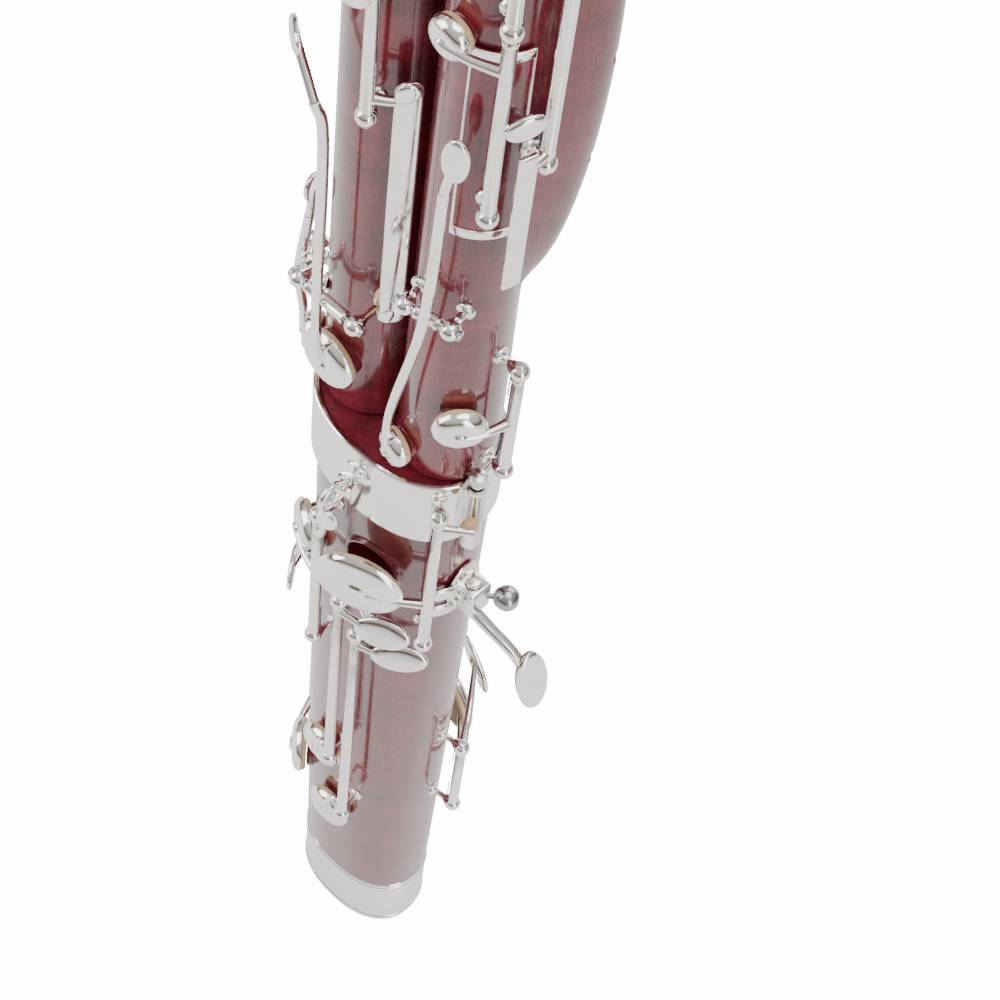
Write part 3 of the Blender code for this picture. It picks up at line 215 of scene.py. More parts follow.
def makeHandlingGroup():
    group, enter, leave = newGroup("handling", [("Vector", "NodeSocketVector", None),
                                                ("Smudge", "NodeSocketFloat", 90.0),
                                                ("Polished", "NodeSocketFloat", 0.06),
                                                ("Dull", "NodeSocketFloat", 0.24)],
                                   [("Roughness", "NodeSocketFloat"), ("Height", "NodeSocketFloat"),
                                    ("Mask", "NodeSocketFloat")])
    link = group.links.new
    patches = addNode(group, "ShaderNodeTexNoise", Detail=5.0, Roughness=0.6, Distortion=0.4)
    link(enter.outputs["Vector"], patches.inputs["Vector"])
    link(enter.outputs["Smudge"], patches.inputs["Scale"])
    spread = addNode(group, "ShaderNodeMapRange")
    spread.inputs["From Min"].default_value = 0.38
    spread.inputs["From Max"].default_value = 0.72
    link(patches.outputs["Fac"], spread.inputs["Value"])
    link(enter.outputs["Polished"], spread.inputs["To Min"])
    link(enter.outputs["Dull"], spread.inputs["To Max"])
    mask = addNode(group, "ShaderNodeMapRange")
    mask.inputs["From Min"].default_value = 0.50
    mask.inputs["From Max"].default_value = 0.78
    link(patches.outputs["Fac"], mask.inputs["Value"])
    hairlines = addNode(group, "ShaderNodeTexNoise", Scale=2600.0, Detail=2.0)
    drawn = addNode(group, "ShaderNodeVectorMath", operation="MULTIPLY")
    drawn.inputs[1].default_value = (1.0, 0.22, 0.35)  # polishing marks are longer than wide
    link(enter.outputs["Vector"], drawn.inputs[0])
    link(drawn.outputs[0], hairlines.inputs["Vector"])
    link(spread.outputs[0], leave.inputs["Roughness"])
    link(mask.outputs[0], leave.inputs["Mask"])
    link(hairlines.outputs["Fac"], leave.inputs["Height"])
    return group


grainGroup = makeGrainGroup()
handlingGroup = makeHandlingGroup()


# Materials.

def newMaterial(name, shaderValues):
    material = bpy.data.materials.new(name)
    material.use_nodes = True
    tree = material.node_tree
    shader = tree.nodes["Principled BSDF"]
    for label, value in shaderValues.items():
        shader.inputs[label].default_value = value
    where = tree.nodes.new("ShaderNodeTexCoord")
    return material, tree, shader, where.outputs["Object"]


def placeGroup(tree, group, **values):
    node = tree.nodes.new("ShaderNodeGroup")
    node.node_tree = group
    for label, value in values.items():
        node.inputs[label].default_value = value
    return node


def addBump(tree, shader, height, strength, distance):
    bump = addNode(tree, "ShaderNodeBump", Strength=strength, Distance=distance)
    tree.links.new(height, bump.inputs["Height"])
    tree.links.new(bump.outputs["Normal"], shader.inputs["Normal"])


def grainMaterial(name, values, shaderValues):
    material, tree, shader, place = newMaterial(name, shaderValues)
    grain = placeGroup(tree, grainGroup, Dark=(*values["dark"], 1), Light=(*values["light"], 1),
                       Fibre=values["fibre"], Figure=values["figure"])
    handling = placeGroup(tree, handlingGroup, Smudge=values["smudge"], Polished=values["polished"],
                          Dull=values["dull"])
    tree.links.new(place, grain.inputs["Vector"])
    tree.links.new(place, handling.inputs["Vector"])
    tree.links.new(grain.outputs["Colour"], shader.inputs["Base Color"])
    tree.links.new(handling.outputs["Roughness"], shader.inputs["Roughness"])
    addBump(tree, shader, grain.outputs["Height"], values["bump"], 0.0001)
    return material


def metalMaterial(name, values):
    material, tree, shader, place = newMaterial(name, {"Metallic": 1.0})
    handling = placeGroup(tree, handlingGroup, Smudge=values["smudge"], Polished=values["polished"],
                          Dull=values["dull"])
    tint = addNode(tree, "ShaderNodeMix", data_type="RGBA")
    tint.inputs[6].default_value = (*values["colour"], 1)
    tint.inputs[7].default_value = (*values["tarnish"], 1)
    tree.links.new(place, handling.inputs["Vector"])
    tree.links.new(handling.outputs["Mask"], tint.inputs[0])
    tree.links.new(tint.outputs[2], shader.inputs["Base Color"])
    tree.links.new(handling.outputs["Roughness"], shader.inputs["Roughness"])
    addBump(tree, shader, handling.outputs["Height"], values["bump"], 0.00002)
    return material


def pebbledMaterial(name, values, shaderValues):
    material, tree, shader, place = newMaterial(name, shaderValues)
    cells = addNode(tree, "ShaderNodeTexVoronoi", Scale=values["cells"], Randomness=1.0)
    blotch = addNode(tree, "ShaderNodeTexNoise", Scale=values["blotch"], Detail=6.0, Roughness=0.65)
    both = addNode(tree, "ShaderNodeMix", data_type="FLOAT")
    both.inputs[0].default_value = 0.5
    ramp = tree.nodes.new("ShaderNodeValToRGB")
    stops(ramp, (0.18, values["dark"]), (0.42, values["mid"]), (0.75, values["light"]))
    tree.links.new(place, cells.inputs["Vector"])
    tree.links.new(place, blotch.inputs["Vector"])
    tree.links.new(cells.outputs["Distance"], both.inputs[2])
    tree.links.new(blotch.outputs["Fac"], both.inputs[3])
    tree.links.new(both.outputs[0], ramp.inputs["Fac"])
    tree.links.new(ramp.outputs["Color"], shader.inputs["Base Color"])
    addBump(tree, shader, both.outputs[0], values["bump"], 0.0002)
    return material


stainedMaple = grainMaterial("stainedMaple", {"dark": (0.060, 0.007, 0.012), "light": (0.235, 0.022, 0.038),
                                              "fibre": 900.0, "figure": 0.38, "smudge": 30.0,
                                              "polished": 0.16, "dull": 0.30, "bump": 0.10},
                             {"Coat Weight": 0.7, "Coat Roughness": 0.05, "Coat IOR": 1.5,
                              "Specular IOR Level": 0.3, "IOR": 1.48})
silverPlate = metalMaterial("silverPlate", {"colour": (0.93, 0.915, 0.885), "tarnish": (0.84, 0.79, 0.70),
                                            "smudge": 70.0, "polished": 0.045, "dull": 0.20, "bump": 0.10})
ringPlate = metalMaterial("ringPlate", {"colour": (0.94, 0.93, 0.90), "tarnish": (0.86, 0.82, 0.74),
                                        "smudge": 34.0, "polished": 0.07, "dull": 0.22, "bump": 0.12})
rodSteel = metalMaterial("rodSteel", {"colour": (0.66, 0.65, 0.64), "tarnish": (0.48, 0.46, 0.43),
                                      "smudge": 160.0, "polished": 0.14, "dull": 0.34, "bump": 0.25})
screwSteel = metalMaterial("screwSteel", {"colour": (0.42, 0.42, 0.44), "tarnish": (0.25, 0.24, 0.23),
                                          "smudge": 220.0, "polished": 0.16, "dull": 0.36, "bump": 0.25})
bluedSteel = metalMaterial("bluedSteel", {"colour": (0.10, 0.14, 0.26), "tarnish": (0.07, 0.07, 0.10),
                                          "smudge": 300.0, "polished": 0.18, "dull": 0.35, "bump": 0.1})
bocalPlate = metalMaterial("bocalPlate", {"colour": (0.94, 0.92, 0.87), "tarnish": (0.82, 0.74, 0.60),
                                          "smudge": 45.0, "polished": 0.04, "dull": 0.18, "bump": 0.08})
bareBrass = metalMaterial("bareBrass", {"colour": (0.80, 0.62, 0.30), "tarnish": (0.50, 0.34, 0.14),
                                        "smudge": 300.0, "polished": 0.14, "dull": 0.32, "bump": 0.2})
naturalCork = pebbledMaterial("naturalCork", {"cells": 900.0, "blotch": 420.0, "dark": (0.20, 0.10, 0.045),
                                              "mid": (0.52, 0.32, 0.16), "light": (0.70, 0.48, 0.27),
                                              "bump": 0.8}, {"Roughness": 0.85})
padLeather = pebbledMaterial("padLeather", {"cells": 2200.0, "blotch": 130.0, "dark": (0.55, 0.34, 0.15),
                                            "mid": (0.74, 0.52, 0.28), "light": (0.82, 0.63, 0.38),
                                            "bump": 0.35},
                             {"Roughness": 0.55, "Sheen Weight": 0.2, "Sheen Roughness": 0.5})
restLeather = pebbledMaterial("restLeather",
                              {"cells": 1500.0, "blotch": 220.0, "dark": (0.10, 0.045, 0.020),
                               "mid": (0.22, 0.11, 0.055), "light": (0.34, 0.19, 0.10), "bump": 0.6},
                              {"Roughness": 0.6})
reedCane = grainMaterial("reedCane", {"dark": (0.52, 0.33, 0.12), "light": (0.86, 0.68, 0.38),
                                      "fibre": 2600.0, "figure": 0.10, "smudge": 120.0, "polished": 0.42,
                                      "dull": 0.62, "bump": 0.45},
                         {"Subsurface Weight": 0.06, "Subsurface Scale": 0.002})


def makeThreadMaterial():
    material, tree, shader, place = newMaterial("bindingThread", {"Roughness": 0.72, "Sheen Weight": 0.35})
    fuzz = addNode(tree, "ShaderNodeTexNoise", Scale=3200.0, Detail=4.0)
    ramp = tree.nodes.new("ShaderNodeValToRGB")
    stops(ramp, (0.25, (0.16, 0.006, 0.010)), (0.75, (0.46, 0.030, 0.032)))
    tree.links.new(place, fuzz.inputs["Vector"])
    tree.links.new(fuzz.outputs["Fac"], ramp.inputs["Fac"])
    tree.links.new(ramp.outputs["Color"], shader.inputs["Base Color"])
    addBump(tree, shader, fuzz.outputs["Fac"], 0.6, 0.0001)
    return material


bindingThread = makeThreadMaterial()
print("materials made")


# Modelling helpers, all on Blender's own operators.

def deselect():
    if bpy.context.mode != "OBJECT":
        bpy.ops.object.mode_set(mode="OBJECT")
    bpy.ops.object.select_all(action="DESELECT")


def pick(piece):
    deselect()
    piece.select_set(True)
    bpy.context.view_layer.objects.active = piece


def editAll(piece):
    pick(piece)
    bpy.ops.object.mode_set(mode="EDIT")
    bpy.ops.mesh.select_all(action="SELECT")


def put(piece, matrix):
    if bpy.context.mode != "OBJECT":
        bpy.ops.object.mode_set(mode="OBJECT")
    piece.matrix_world = matrix
    return piece


def lathe(profile, matrix=Matrix.Identity(4), steps=40, ring=False):
    # The profile is drawn point by point, then spun about its own Z.
    deselect()
    bpy.ops.mesh.primitive_plane_add(size=0.001)
    piece = bpy.context.object
    bpy.ops.object.mode_set(mode="EDIT")
    bpy.ops.mesh.merge(type="CENTER")
    bpy.ops.transform.translate(value=(profile[0][0], 0, profile[0][1]))
    points = list(profile) + ([profile[0]] if ring else [])
    for (oldR, oldZ), (newR, newZ) in zip(points, points[1:]):
        bpy.ops.mesh.extrude_region_move(TRANSFORM_OT_translate={"value": (newR - oldR, 0, newZ - oldZ)})
    bpy.ops.mesh.select_all(action="SELECT")
    bpy.ops.mesh.spin(steps=steps, angle=math.tau, center=(0, 0, 0), axis=(0, 0, 1))
    bpy.ops.mesh.select_all(action="SELECT")
    bpy.ops.mesh.remove_doubles(threshold=0.0000015)
    bpy.ops.mesh.normals_make_consistent(inside=False)
    return put(piece, matrix)


def roundBar(start, end, radius, sides=20, soften=0.0003):
    start, end = Vector(start), Vector(end)
    deselect()
    bpy.ops.mesh.primitive_cylinder_add(vertices=sides, radius=radius, depth=(end - start).length)
    piece = bpy.context.object
    if soften:
        bpy.ops.object.mode_set(mode="EDIT")
        bpy.ops.mesh.select_all(action="DESELECT")
        bpy.ops.mesh.edges_select_sharp(sharpness=math.radians(60))
        bpy.ops.mesh.bevel(offset=soften, segments=2)
    return put(piece, Matrix.Translation((start + end) / 2) @ facing(end - start))


def ball(centre, radius, segments=24):
    deselect()
    bpy.ops.mesh.primitive_uv_sphere_add(segments=segments, ring_count=segments // 2, radius=radius)
    return put(bpy.context.object, Matrix.Translation(Vector(centre)))


def torus(radius, thick, rounds, sides, matrix):
    deselect()
    bpy.ops.mesh.primitive_torus_add(major_radius=radius, minor_radius=thick, major_segments=rounds,
                                     minor_segments=sides)
    return put(bpy.context.object, matrix)


def softBox(centre, normal, along, length, width, thickness, soften=0.0006, segments=3):
    deselect()
    bpy.ops.mesh.primitive_cube_add(size=1.0)
    piece = bpy.context.object
    piece.scale = (length, width, thickness)
    bpy.ops.object.transform_apply(scale=True)
    bpy.ops.object.mode_set(mode="EDIT")
    bpy.ops.mesh.bevel(offset=soften, segments=segments)
    return put(piece, Matrix.Translation(Vector(centre)) @ facing(normal, along))


def smoothPath(points, steps):
    points = [Vector(point) for point in points]
    ends = [points[0] * 2 - points[1], *points, points[-1] * 2 - points[-2]]
    path = []
    for index in range(1, len(ends) - 2):
        before, here, there, after = ends[index - 1:index + 3]
        for step in range(steps):
            t = step / steps
            path.append(0.5 * (2 * here + (there - before) * t
                               + (2 * before - 5 * here + 4 * there - after) * t ** 2
                               + (3 * here - before - 3 * there + after) * t ** 3))
    return path + [points[-1]]


def bentBar(points, radius, steps=6, radii=None, smooth=True, fine=4):
    # A bar swept along a curve, thick or thin along the way as the radii say.
    path = smoothPath(points, steps) if smooth else [Vector(point) for point in points]
    deselect()
    bpy.ops.curve.primitive_bezier_curve_add()
    piece = bpy.context.object
    data = piece.data
    data.splines.clear()
    data.dimensions = "3D"
    data.bevel_depth = radius
    data.bevel_resolution = fine
    data.use_fill_caps = True
    spline = data.splines.new("POLY")
    spline.points.add(len(path) - 1)
    last = len(path) - 1
    for index, point in enumerate(path):
        spline.points[index].co = (*point, 1.0)
        if radii:
            share = index / last * (len(radii) - 1)
            low = min(int(share), len(radii) - 2)
            spline.points[index].radius = between(radii[low], radii[low + 1], share - low) / radius
    bpy.ops.object.convert(target="MESH")
    bar = bpy.context.object
    editAll(bar)
    bpy.ops.mesh.remove_doubles(threshold=0.00001)
    bpy.ops.mesh.normals_make_consistent(inside=False)
    deselect()
    return put(bar, Matrix.Identity(4))


def cutAway(piece, tools):
    for tool in tools:
        pick(piece)
        cut = piece.modifiers.new("cut", "BOOLEAN")
        cut.operation = "DIFFERENCE"
        cut.solver = "EXACT"
        cut.object = tool
        bpy.ops.object.modifier_apply(modifier=cut.name)
        bpy.data.objects.remove(tool)
    return piece


def gather(name, parts, material, body, stands=(), smooth=38, swing=None):
    # Joins the parts into one finished piece that rides its body.
    deselect()
    for part in parts:
        part.select_set(True)
    bpy.context.view_layer.objects.active = parts[0]
    bpy.ops.object.transform_apply(location=True, rotation=True, scale=True)
    if len(parts) > 1:
        bpy.ops.object.join()
    piece = bpy.context.object
    if swing is not None:
        piece.data.transform(swing)
    piece.name = name
    piece.data.name = name
    piece.data.materials.clear()
    piece.data.materials.append(material)
    bpy.ops.object.shade_smooth_by_angle(angle=math.radians(smooth))
    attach(piece, body)
    if stands:
        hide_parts(*stands)
    return piece


# Wooden joints.

def woodGrid(name, rows, sides, place):
    # A grid wrapped into a closed skin: place(row, turn) gives each point.
    deselect()
    bpy.ops.mesh.primitive_grid_add(x_subdivisions=sides, y_subdivisions=len(rows) - 1, size=1.0)
    piece = bpy.context.object
    piece.name = name
    for vertex in piece.data.vertices:
        turn = (vertex.co.x + 0.5) * 360.0
        row = rows[round((vertex.co.y + 0.5) * (len(rows) - 1))]
        vertex.co = place(row, turn)
    editAll(piece)
    bpy.ops.mesh.remove_doubles(threshold=0.0000015)
    bpy.ops.mesh.normals_make_consistent(inside=False)
    deselect()
    return piece


def straightRows(low, high, spacing):
    count = max(2, round((high - low) / spacing))
    return [between(low, high, step / count) for step in range(count + 1)]


def holeTool(joint, turn, height, radius, depth):
    return roundBar(spot(joint, turn, height, -depth), spot(joint, turn, height, 0.006), radius, 36, 0)


def toneHoleTools(joint, depth):
    return [holeTool(*hole[:4], depth) for hole in toneHoles.values() if hole[0] == joint]


def turnedJoint(joint, profile, sides):
    piece = lathe(profile, tubeAt(joint), sides, ring=True)
    pick(piece)
    bpy.ops.object.transform_apply(location=True)
    return piece


bootWood = {"top": 0.4385, "bevel": 0.0008, "rowSpacing": 0.009, "sides": 120, "socketDepth": 0.036,
            "wingSocket": 0.0128, "longSocket": 0.0148, "smallBore": 0.0085, "largeBore": 0.0105,
            "boreFoot": 0.03, "cutTop": 0.45, "toneDepth": 0.013, "fingerDepth": 0.016}


def makeBootWood():
    low, high, bevel = boot["capHeight"] + keywork["gap"], bootWood["top"], bootWood["bevel"]
    rows = [(low, None), (low, -bevel)]
    rows += [(level, 0.0) for level in straightRows(low + bevel, high - bevel, bootWood["rowSpacing"])]
    rows += [(high, -bevel), (high, None)]

    def place(row, turn):
        level, grow = row
        if grow is None:
            return Vector((0, 0, level))
        return Vector((*ovalPoint(turn, *bootAxes(level, grow)), level))

    piece = woodGrid("bootWood", rows, bootWood["sides"], place)
    tools = toneHoleTools("boot", bootWood["toneDepth"])
    tools += [holeTool("boot", *hole, bootWood["fingerDepth"]) for hole in fingerHoles["boot"]]
    floor = boot["height"] - bootWood["socketDepth"]
    for axisX, socket, bore in ((tubes["wing"]["axisX"], bootWood["wingSocket"], bootWood["smallBore"]),
                                (tubes["long"]["axisX"], bootWood["longSocket"], bootWood["largeBore"])):
        tools.append(roundBar((axisX, 0, floor), (axisX, 0, bootWood["cutTop"]), socket, 48, 0))
        tools.append(roundBar((axisX, 0, bootWood["boreFoot"]), (axisX, 0, floor + 0.001), bore, 48, 0))
    cutAway(piece, tools)
    return gather("bootWood", [piece], stainedMaple, "root", ["boot_body"], 32)


wingWood = {"top": 0.905, "rowSpacing": 0.008, "sides": 144, "finTurn": 128, "finReach": 0.034,
            "finMiddle": 0.663, "finHalf": 0.1116, "finFade": 1.06, "finCentre": 0.42, "finSpread": 0.58,
            "finThick": 0.0108, "finBlend": 0.0035, "bore": 0.0065, "boreFrom": 0.43, "boreTo": 0.92,
            "tenon": 0.0112, "toneDepth": 0.013, "fingerReach": 0.045}


def wingSkin(level, turn):
    base = tubeRadius("wing", level)
    share = (level - wingWood["finMiddle"]) / (wingWood["finHalf"] * wingWood["finFade"])
    if abs(share) >= 1:
        return base
    size = math.sqrt(1 - share * share)
    centre = wingWood["finReach"] * wingWood["finCentre"]
    long, wide = wingWood["finReach"] * wingWood["finSpread"] * size, wingWood["finThick"] * size
    away = math.radians((turn - wingWood["finTurn"] + 180) % 360 - 180)
    a = (math.cos(away) / long) ** 2 + (math.sin(away) / wide) ** 2
    b = -2 * centre * math.cos(away) / long ** 2
    c = (centre / long) ** 2 - 1
    inside = b * b - 4 * a * c
    if inside <= 0:
        return base
    reach = (-b + math.sqrt(inside)) / (2 * a)
    soft = wingWood["finBlend"]  # rounds the hollow where the fin meets the tube
    away = max(0.0, soft - abs(base - reach))
    return max(base, reach) + away * away / soft / 4


def makeWingWood():
    low, high = tubes["wing"]["foot"] + keywork["gap"], wingWood["top"]
    rows = [(low, 0.0), (low, -0.0006)]
    rows += [(level, None) for level in straightRows(low + 0.0006, high - 0.0006, wingWood["rowSpacing"])]
    rows += [(high, -0.0006), (high, 0.0)]
    axisX = tubes["wing"]["axisX"]

    def place(row, turn):
        level, grow = row
        radius = 0.0 if grow == 0.0 else wingSkin(level, turn) + (grow or 0.0)
        return Vector((axisX, 0, level)) + outward("wing", turn, level) * radius

    piece = woodGrid("wingWood", rows, wingWood["sides"], place)
    tools = toneHoleTools("wing", wingWood["toneDepth"])
    for turn, height, radius in fingerHoles["wing"]:
        start = Vector((axisX, 0, tubes["wing"]["foot"] + height))
        end = start + outward("wing", turn, 0) * wingWood["fingerReach"]
        tools.append(roundBar(start, end, radius, 36, 0))
    tools.append(roundBar((axisX, 0, wingWood["boreFrom"]), (axisX, 0, wingWood["boreTo"]),
                          wingWood["bore"], 48, 0))
    cutAway(piece, tools)
    tenonLow = boot["height"] - bootWood["socketDepth"] + 0.001
    bore, outside = wingWood["bore"], wingWood["tenon"]
    tenon = lathe([(bore, low + 0.0003), (outside, low + 0.0003), (outside, tenonLow + 0.001),
                   (outside - 0.001, tenonLow), (bore, tenonLow)], tubeAt("wing"), 48, ring=True)
    return gather("wingWood", [piece, tenon], stainedMaple, "root", ["wing_body"], 32)


longWood = {"rowSpacing": 0.010, "sides": 96, "tenon": 0.0132, "bore": 0.0108, "bellTenon": 0.0140,
            "bellTenonLength": 0.034, "toneDepth": 0.011}


def makeLongWood():
    tube, bore, tenon, bellTenon = tubes["long"], longWood["bore"], longWood["tenon"], longWood["bellTenon"]
    low, high = tube["foot"] + keywork["gap"], topOf("long")
    shoulder = high - longWood["bellTenonLength"]
    tenonLow = boot["height"] - bootWood["socketDepth"] + 0.001
    edge = 0.0006
    profile = [(bore, high - 0.0005), (bore + 0.0005, high), (bellTenon - 0.0008, high),
               (bellTenon, high - 0.0008), (bellTenon, shoulder),
               (tubeRadius("long", shoulder) - edge, shoulder),
               (tubeRadius("long", shoulder), shoulder - edge)]
    levels = straightRows(low + edge, shoulder - edge, longWood["rowSpacing"])[:-1]
    profile += [(tubeRadius("long", level), level) for level in reversed(levels)]
    profile += [(tube["low"] - edge, low), (tenon, low), (tenon, tenonLow + 0.001),
                (tenon - 0.001, tenonLow), (bore, tenonLow)]
    piece = turnedJoint("long", profile, longWood["sides"])
    cutAway(piece, toneHoleTools("long", longWood["toneDepth"]))
    return gather("longWood", [piece], stainedMaple, "root", ["long_body"], 32)


bellWood = {"sides": 96, "socket": 0.0156, "bore": 0.0150, "rimBelowTop": 0.026, "toneDepth": 0.012}


def makeBellWood():
    base, socket, bore = tubes["bell"]["foot"], bellWood["socket"], bellWood["bore"]
    low, rim = base + keywork["gap"], topOf("bell") - bellWood["rimBelowTop"]
    shoulder = low + longWood["bellTenonLength"] + 0.001
    outline = ((0.0205, low + 0.0005), (0.0205, shoulder + 0.006), (0.01985, shoulder + 0.030),
               (0.0197, base + 0.100), (0.0204, base + 0.160), (0.0222, base + 0.225),
               (0.0228, base + 0.252), (0.0224, base + 0.282), (0.0214, rim))
    outer = smoothPath([(radius, 0, level) for radius, level in outline], 4)
    profile = [(point.x, point.z) for point in reversed(outer)]
    profile += [(0.0200, low), (socket, low), (socket, shoulder), (bore, shoulder),
                (bore * 1.08, between(shoulder, rim, 0.5)), (bore * 1.2, rim)]
    piece = turnedJoint("bell", profile, bellWood["sides"])
    cutAway(piece, toneHoleTools("bell", bellWood["toneDepth"]))
    return gather("bellWood", [piece], stainedMaple, "root", ["bell_body"], 32)


toneRim = {"wall": 0.0016, "stand": 0.0011, "sink": 0.0030}


def makeToneRims():
    # The turned seats that the pads close on.
    parts = []
    for joint, turn, height, radius, cup in toneHoles.values():
        outer = min(radius + toneRim["wall"], cup - 0.001)
        stand, sink = toneRim["stand"], -toneRim["sink"]
        profile = [(radius, sink), (radius, stand - 0.0003), (radius + 0.0003, stand),
                   (outer - 0.0004, stand), (outer, stand - 0.0004), (outer + 0.0006, 0.0),
                   (outer + 0.0006, sink)]
        seat = spot(joint, turn, height)
        parts.append(lathe(profile, Matrix.Translation(seat) @ facing(outward(joint, turn, seat.z)), 40,
                           ring=True))
    return gather("toneHoleRims", parts, stainedMaple, "root")


makeBootWood()
makeWingWood()
makeLongWood()
makeBellWood()
makeToneRims()
print("wooden joints made")


# Bands, caps and corks.

def ovalBand(low, high, inner, outer, level, bevel, floorWall=0.0):
    # A band round the boot. With a floor wall it is a cap, closed below.
    rows = [(low + bevel, outer), (high - bevel, outer), (high, outer - bevel), (high, inner + bevel * 0.5)]
    if floorWall:
        rows += [(low + floorWall, inner), (low + floorWall, None)]
        rows = [(low, None), (low, outer - bevel * 2.2), (low + bevel * 0.6, outer - bevel)] + rows
    else:
        rows += [(high - bevel * 0.5, inner), (low, inner), (low, outer - bevel), (low + bevel, outer)]

    def place(row, turn):
        height, grow = row
        if grow is None:
            return Vector((0, 0, height))
        return Vector((*ovalPoint(turn, *bootAxes(level, grow)), height))

    return woodGrid("band", rows, 120, place)


ferruleLook = {"height": 0.039, "wall": 0.0017, "bevel": 0.0005, "lugTurn": 5, "lugDrop": 0.013,
               "lugReach": 0.0064, "guideTurn": 79, "guideRadius": 0.0040, "guideLength": 0.036,
               "pin": 0.0022}


def lugPlaces():
    top = boot["height"]
    out = outward("boot", ferruleLook["lugTurn"], top)
    skin = spot("boot", ferruleLook["lugTurn"], top, keywork["gap"] + ferruleLook["wall"])
    start = Vector((skin.x, skin.y, top - ferruleLook["lugDrop"]))
    return out, start, start + out * ferruleLook["lugReach"]


def makeFerrule():
    top, gap, look = boot["height"], keywork["gap"], ferruleLook
    band = ovalBand(top - look["height"], top, gap, gap + look["wall"], top, look["bevel"])
    out, start, eye = lugPlaces()
    side = up.cross(out)
    foot = lathe([(0, -0.0004), (0.0062, -0.0004), (0.0064, 0.0002), (0.0060, 0.0008), (0.0040, 0.0014),
                  (0.0021, 0.0024), (0.0018, 0.0046), (0.0018, 0.0064), (0, 0.0064)],
                 Matrix.Translation(start) @ facing(out, side) @ Matrix.Diagonal((1, 0.68, 1, 1)), 40)
    eyeRing = lathe([(0.0022, 0.0018), (0.0026, 0.0023), (0.0036, 0.0022), (0.0041, 0.0016),
                     (0.0041, -0.0016), (0.0036, -0.0022), (0.0026, -0.0023), (0.0022, -0.0018)],
                    Matrix.Translation(eye), 36, ring=True)
    out = outward("boot", look["guideTurn"], top)
    centre = spot("boot", look["guideTurn"], top, gap + look["wall"] + look["guideRadius"] - 0.0005)
    r, bottom, bore = look["guideRadius"], -look["guideLength"], look["pin"] + 0.0005
    guide = lathe([(bore, -0.030), (bore, 0.0029), (bore + 0.0002, 0.0031), (r + 0.0002, 0.0031),
                   (r + 0.0003, 0.0026), (r + 0.0003, 0.0012), (r, 0.0008), (r, bottom),
                   (r * 0.92, bottom - 0.0016), (r * 0.7, bottom - 0.0029), (r * 0.38, bottom - 0.0037),
                   (0, bottom - 0.0039)], Matrix.Translation(centre), 40)
    saddle = softBox(centre - out * (r * 0.7) + Vector((0, 0, -0.017)), out, (0, 0, 1), 0.030, 0.0062,
                     0.0022, 0.0008)
    gather("ferrule", [band, foot, eyeRing, guide, saddle], ringPlate, "root", ["boot_ferrule"])
    return centre


def makeBootCap():
    high = boot["capHeight"]
    cap = ovalBand(0.0, high, -0.0012, 0.0, high, 0.0007, 0.0012)
    bead = ovalBand(high - 0.0052, high - 0.0030, -0.0004, 0.00035, high, 0.0003)
    low = ovalBand(0.0025, 0.0050, -0.0004, 0.00035, high, 0.0003)
    gather("bootCap", [cap, bead, low], ringPlate, "root", ["boot_cap"])


def bandProfile(inner, outer, low, high, beads):
    # The outside of a ring with turned beads, from the top down, and back up the inside.
    points = [(inner, high), (outer - 0.0005, high), (outer, high - 0.0005)]
    for level in beads:
        points += [(outer, level + 0.0012), (outer + 0.0003, level + 0.0006),
                   (outer + 0.0003, level - 0.0006), (outer, level - 0.0012)]
    return points + [(outer, low + 0.0005), (outer - 0.0005, low), (inner, low)]


def makeRings():
    top = topOf("wing")
    inner = tubeRadius("wing", top - tubes["wing"]["length"] * 0.05) + 0.0003
    outer = inner + 0.0018
    receiver = lathe([(0.0075, top + 0.0003), (0.0075, top + 0.0010), (outer - 0.0005, top + 0.0010),
                      (outer, top + 0.0005), (outer, top - 0.0188), (outer + 0.0003, top - 0.0192),
                      (outer + 0.0003, top - 0.0197), (outer, top - 0.020), (inner, top - 0.020),
                      (inner, top + 0.0003)], tubeAt("wing"), 64, ring=True)
    gather("wingReceiverRing", [receiver], ringPlate, "root", ["wing_receiver_ring"])
    low = tubes["bell"]["foot"] + 0.0003
    socket = lathe(bandProfile(0.0208, 0.0226, low, low + 0.030, (low + 0.026, low + 0.004)),
                   tubeAt("bell"), 80, ring=True)
    gather("bellSocketRing", [socket], ringPlate, "root", ["bell_socket_ring"])
    high = topOf("bell")
    outside = smoothPath([(0.0218, 0, high - 0.0255), (0.0221, 0, high - 0.020), (0.0228, 0, high - 0.014),
                          (0.0249, 0, high - 0.0095), (0.0263, 0, high - 0.0060), (0.0264, 0, high - 0.0028),
                          (0.0254, 0, high - 0.0004)], 4)
    profile = [(0.0182, high - 0.0257)] + [(point.x, point.z) for point in outside]
    profile += [(0.0240, high), (0.0216, high - 0.0002), (0.0206, high - 0.0012), (0.0196, high - 0.0050)]
    gather("bellRim", [lathe(profile, tubeAt("bell"), 96, ring=True)], ringPlate, "root",
           ["bell_rim_ring"])


crookDepth = 0.030  # how far the crook goes into the wing joint


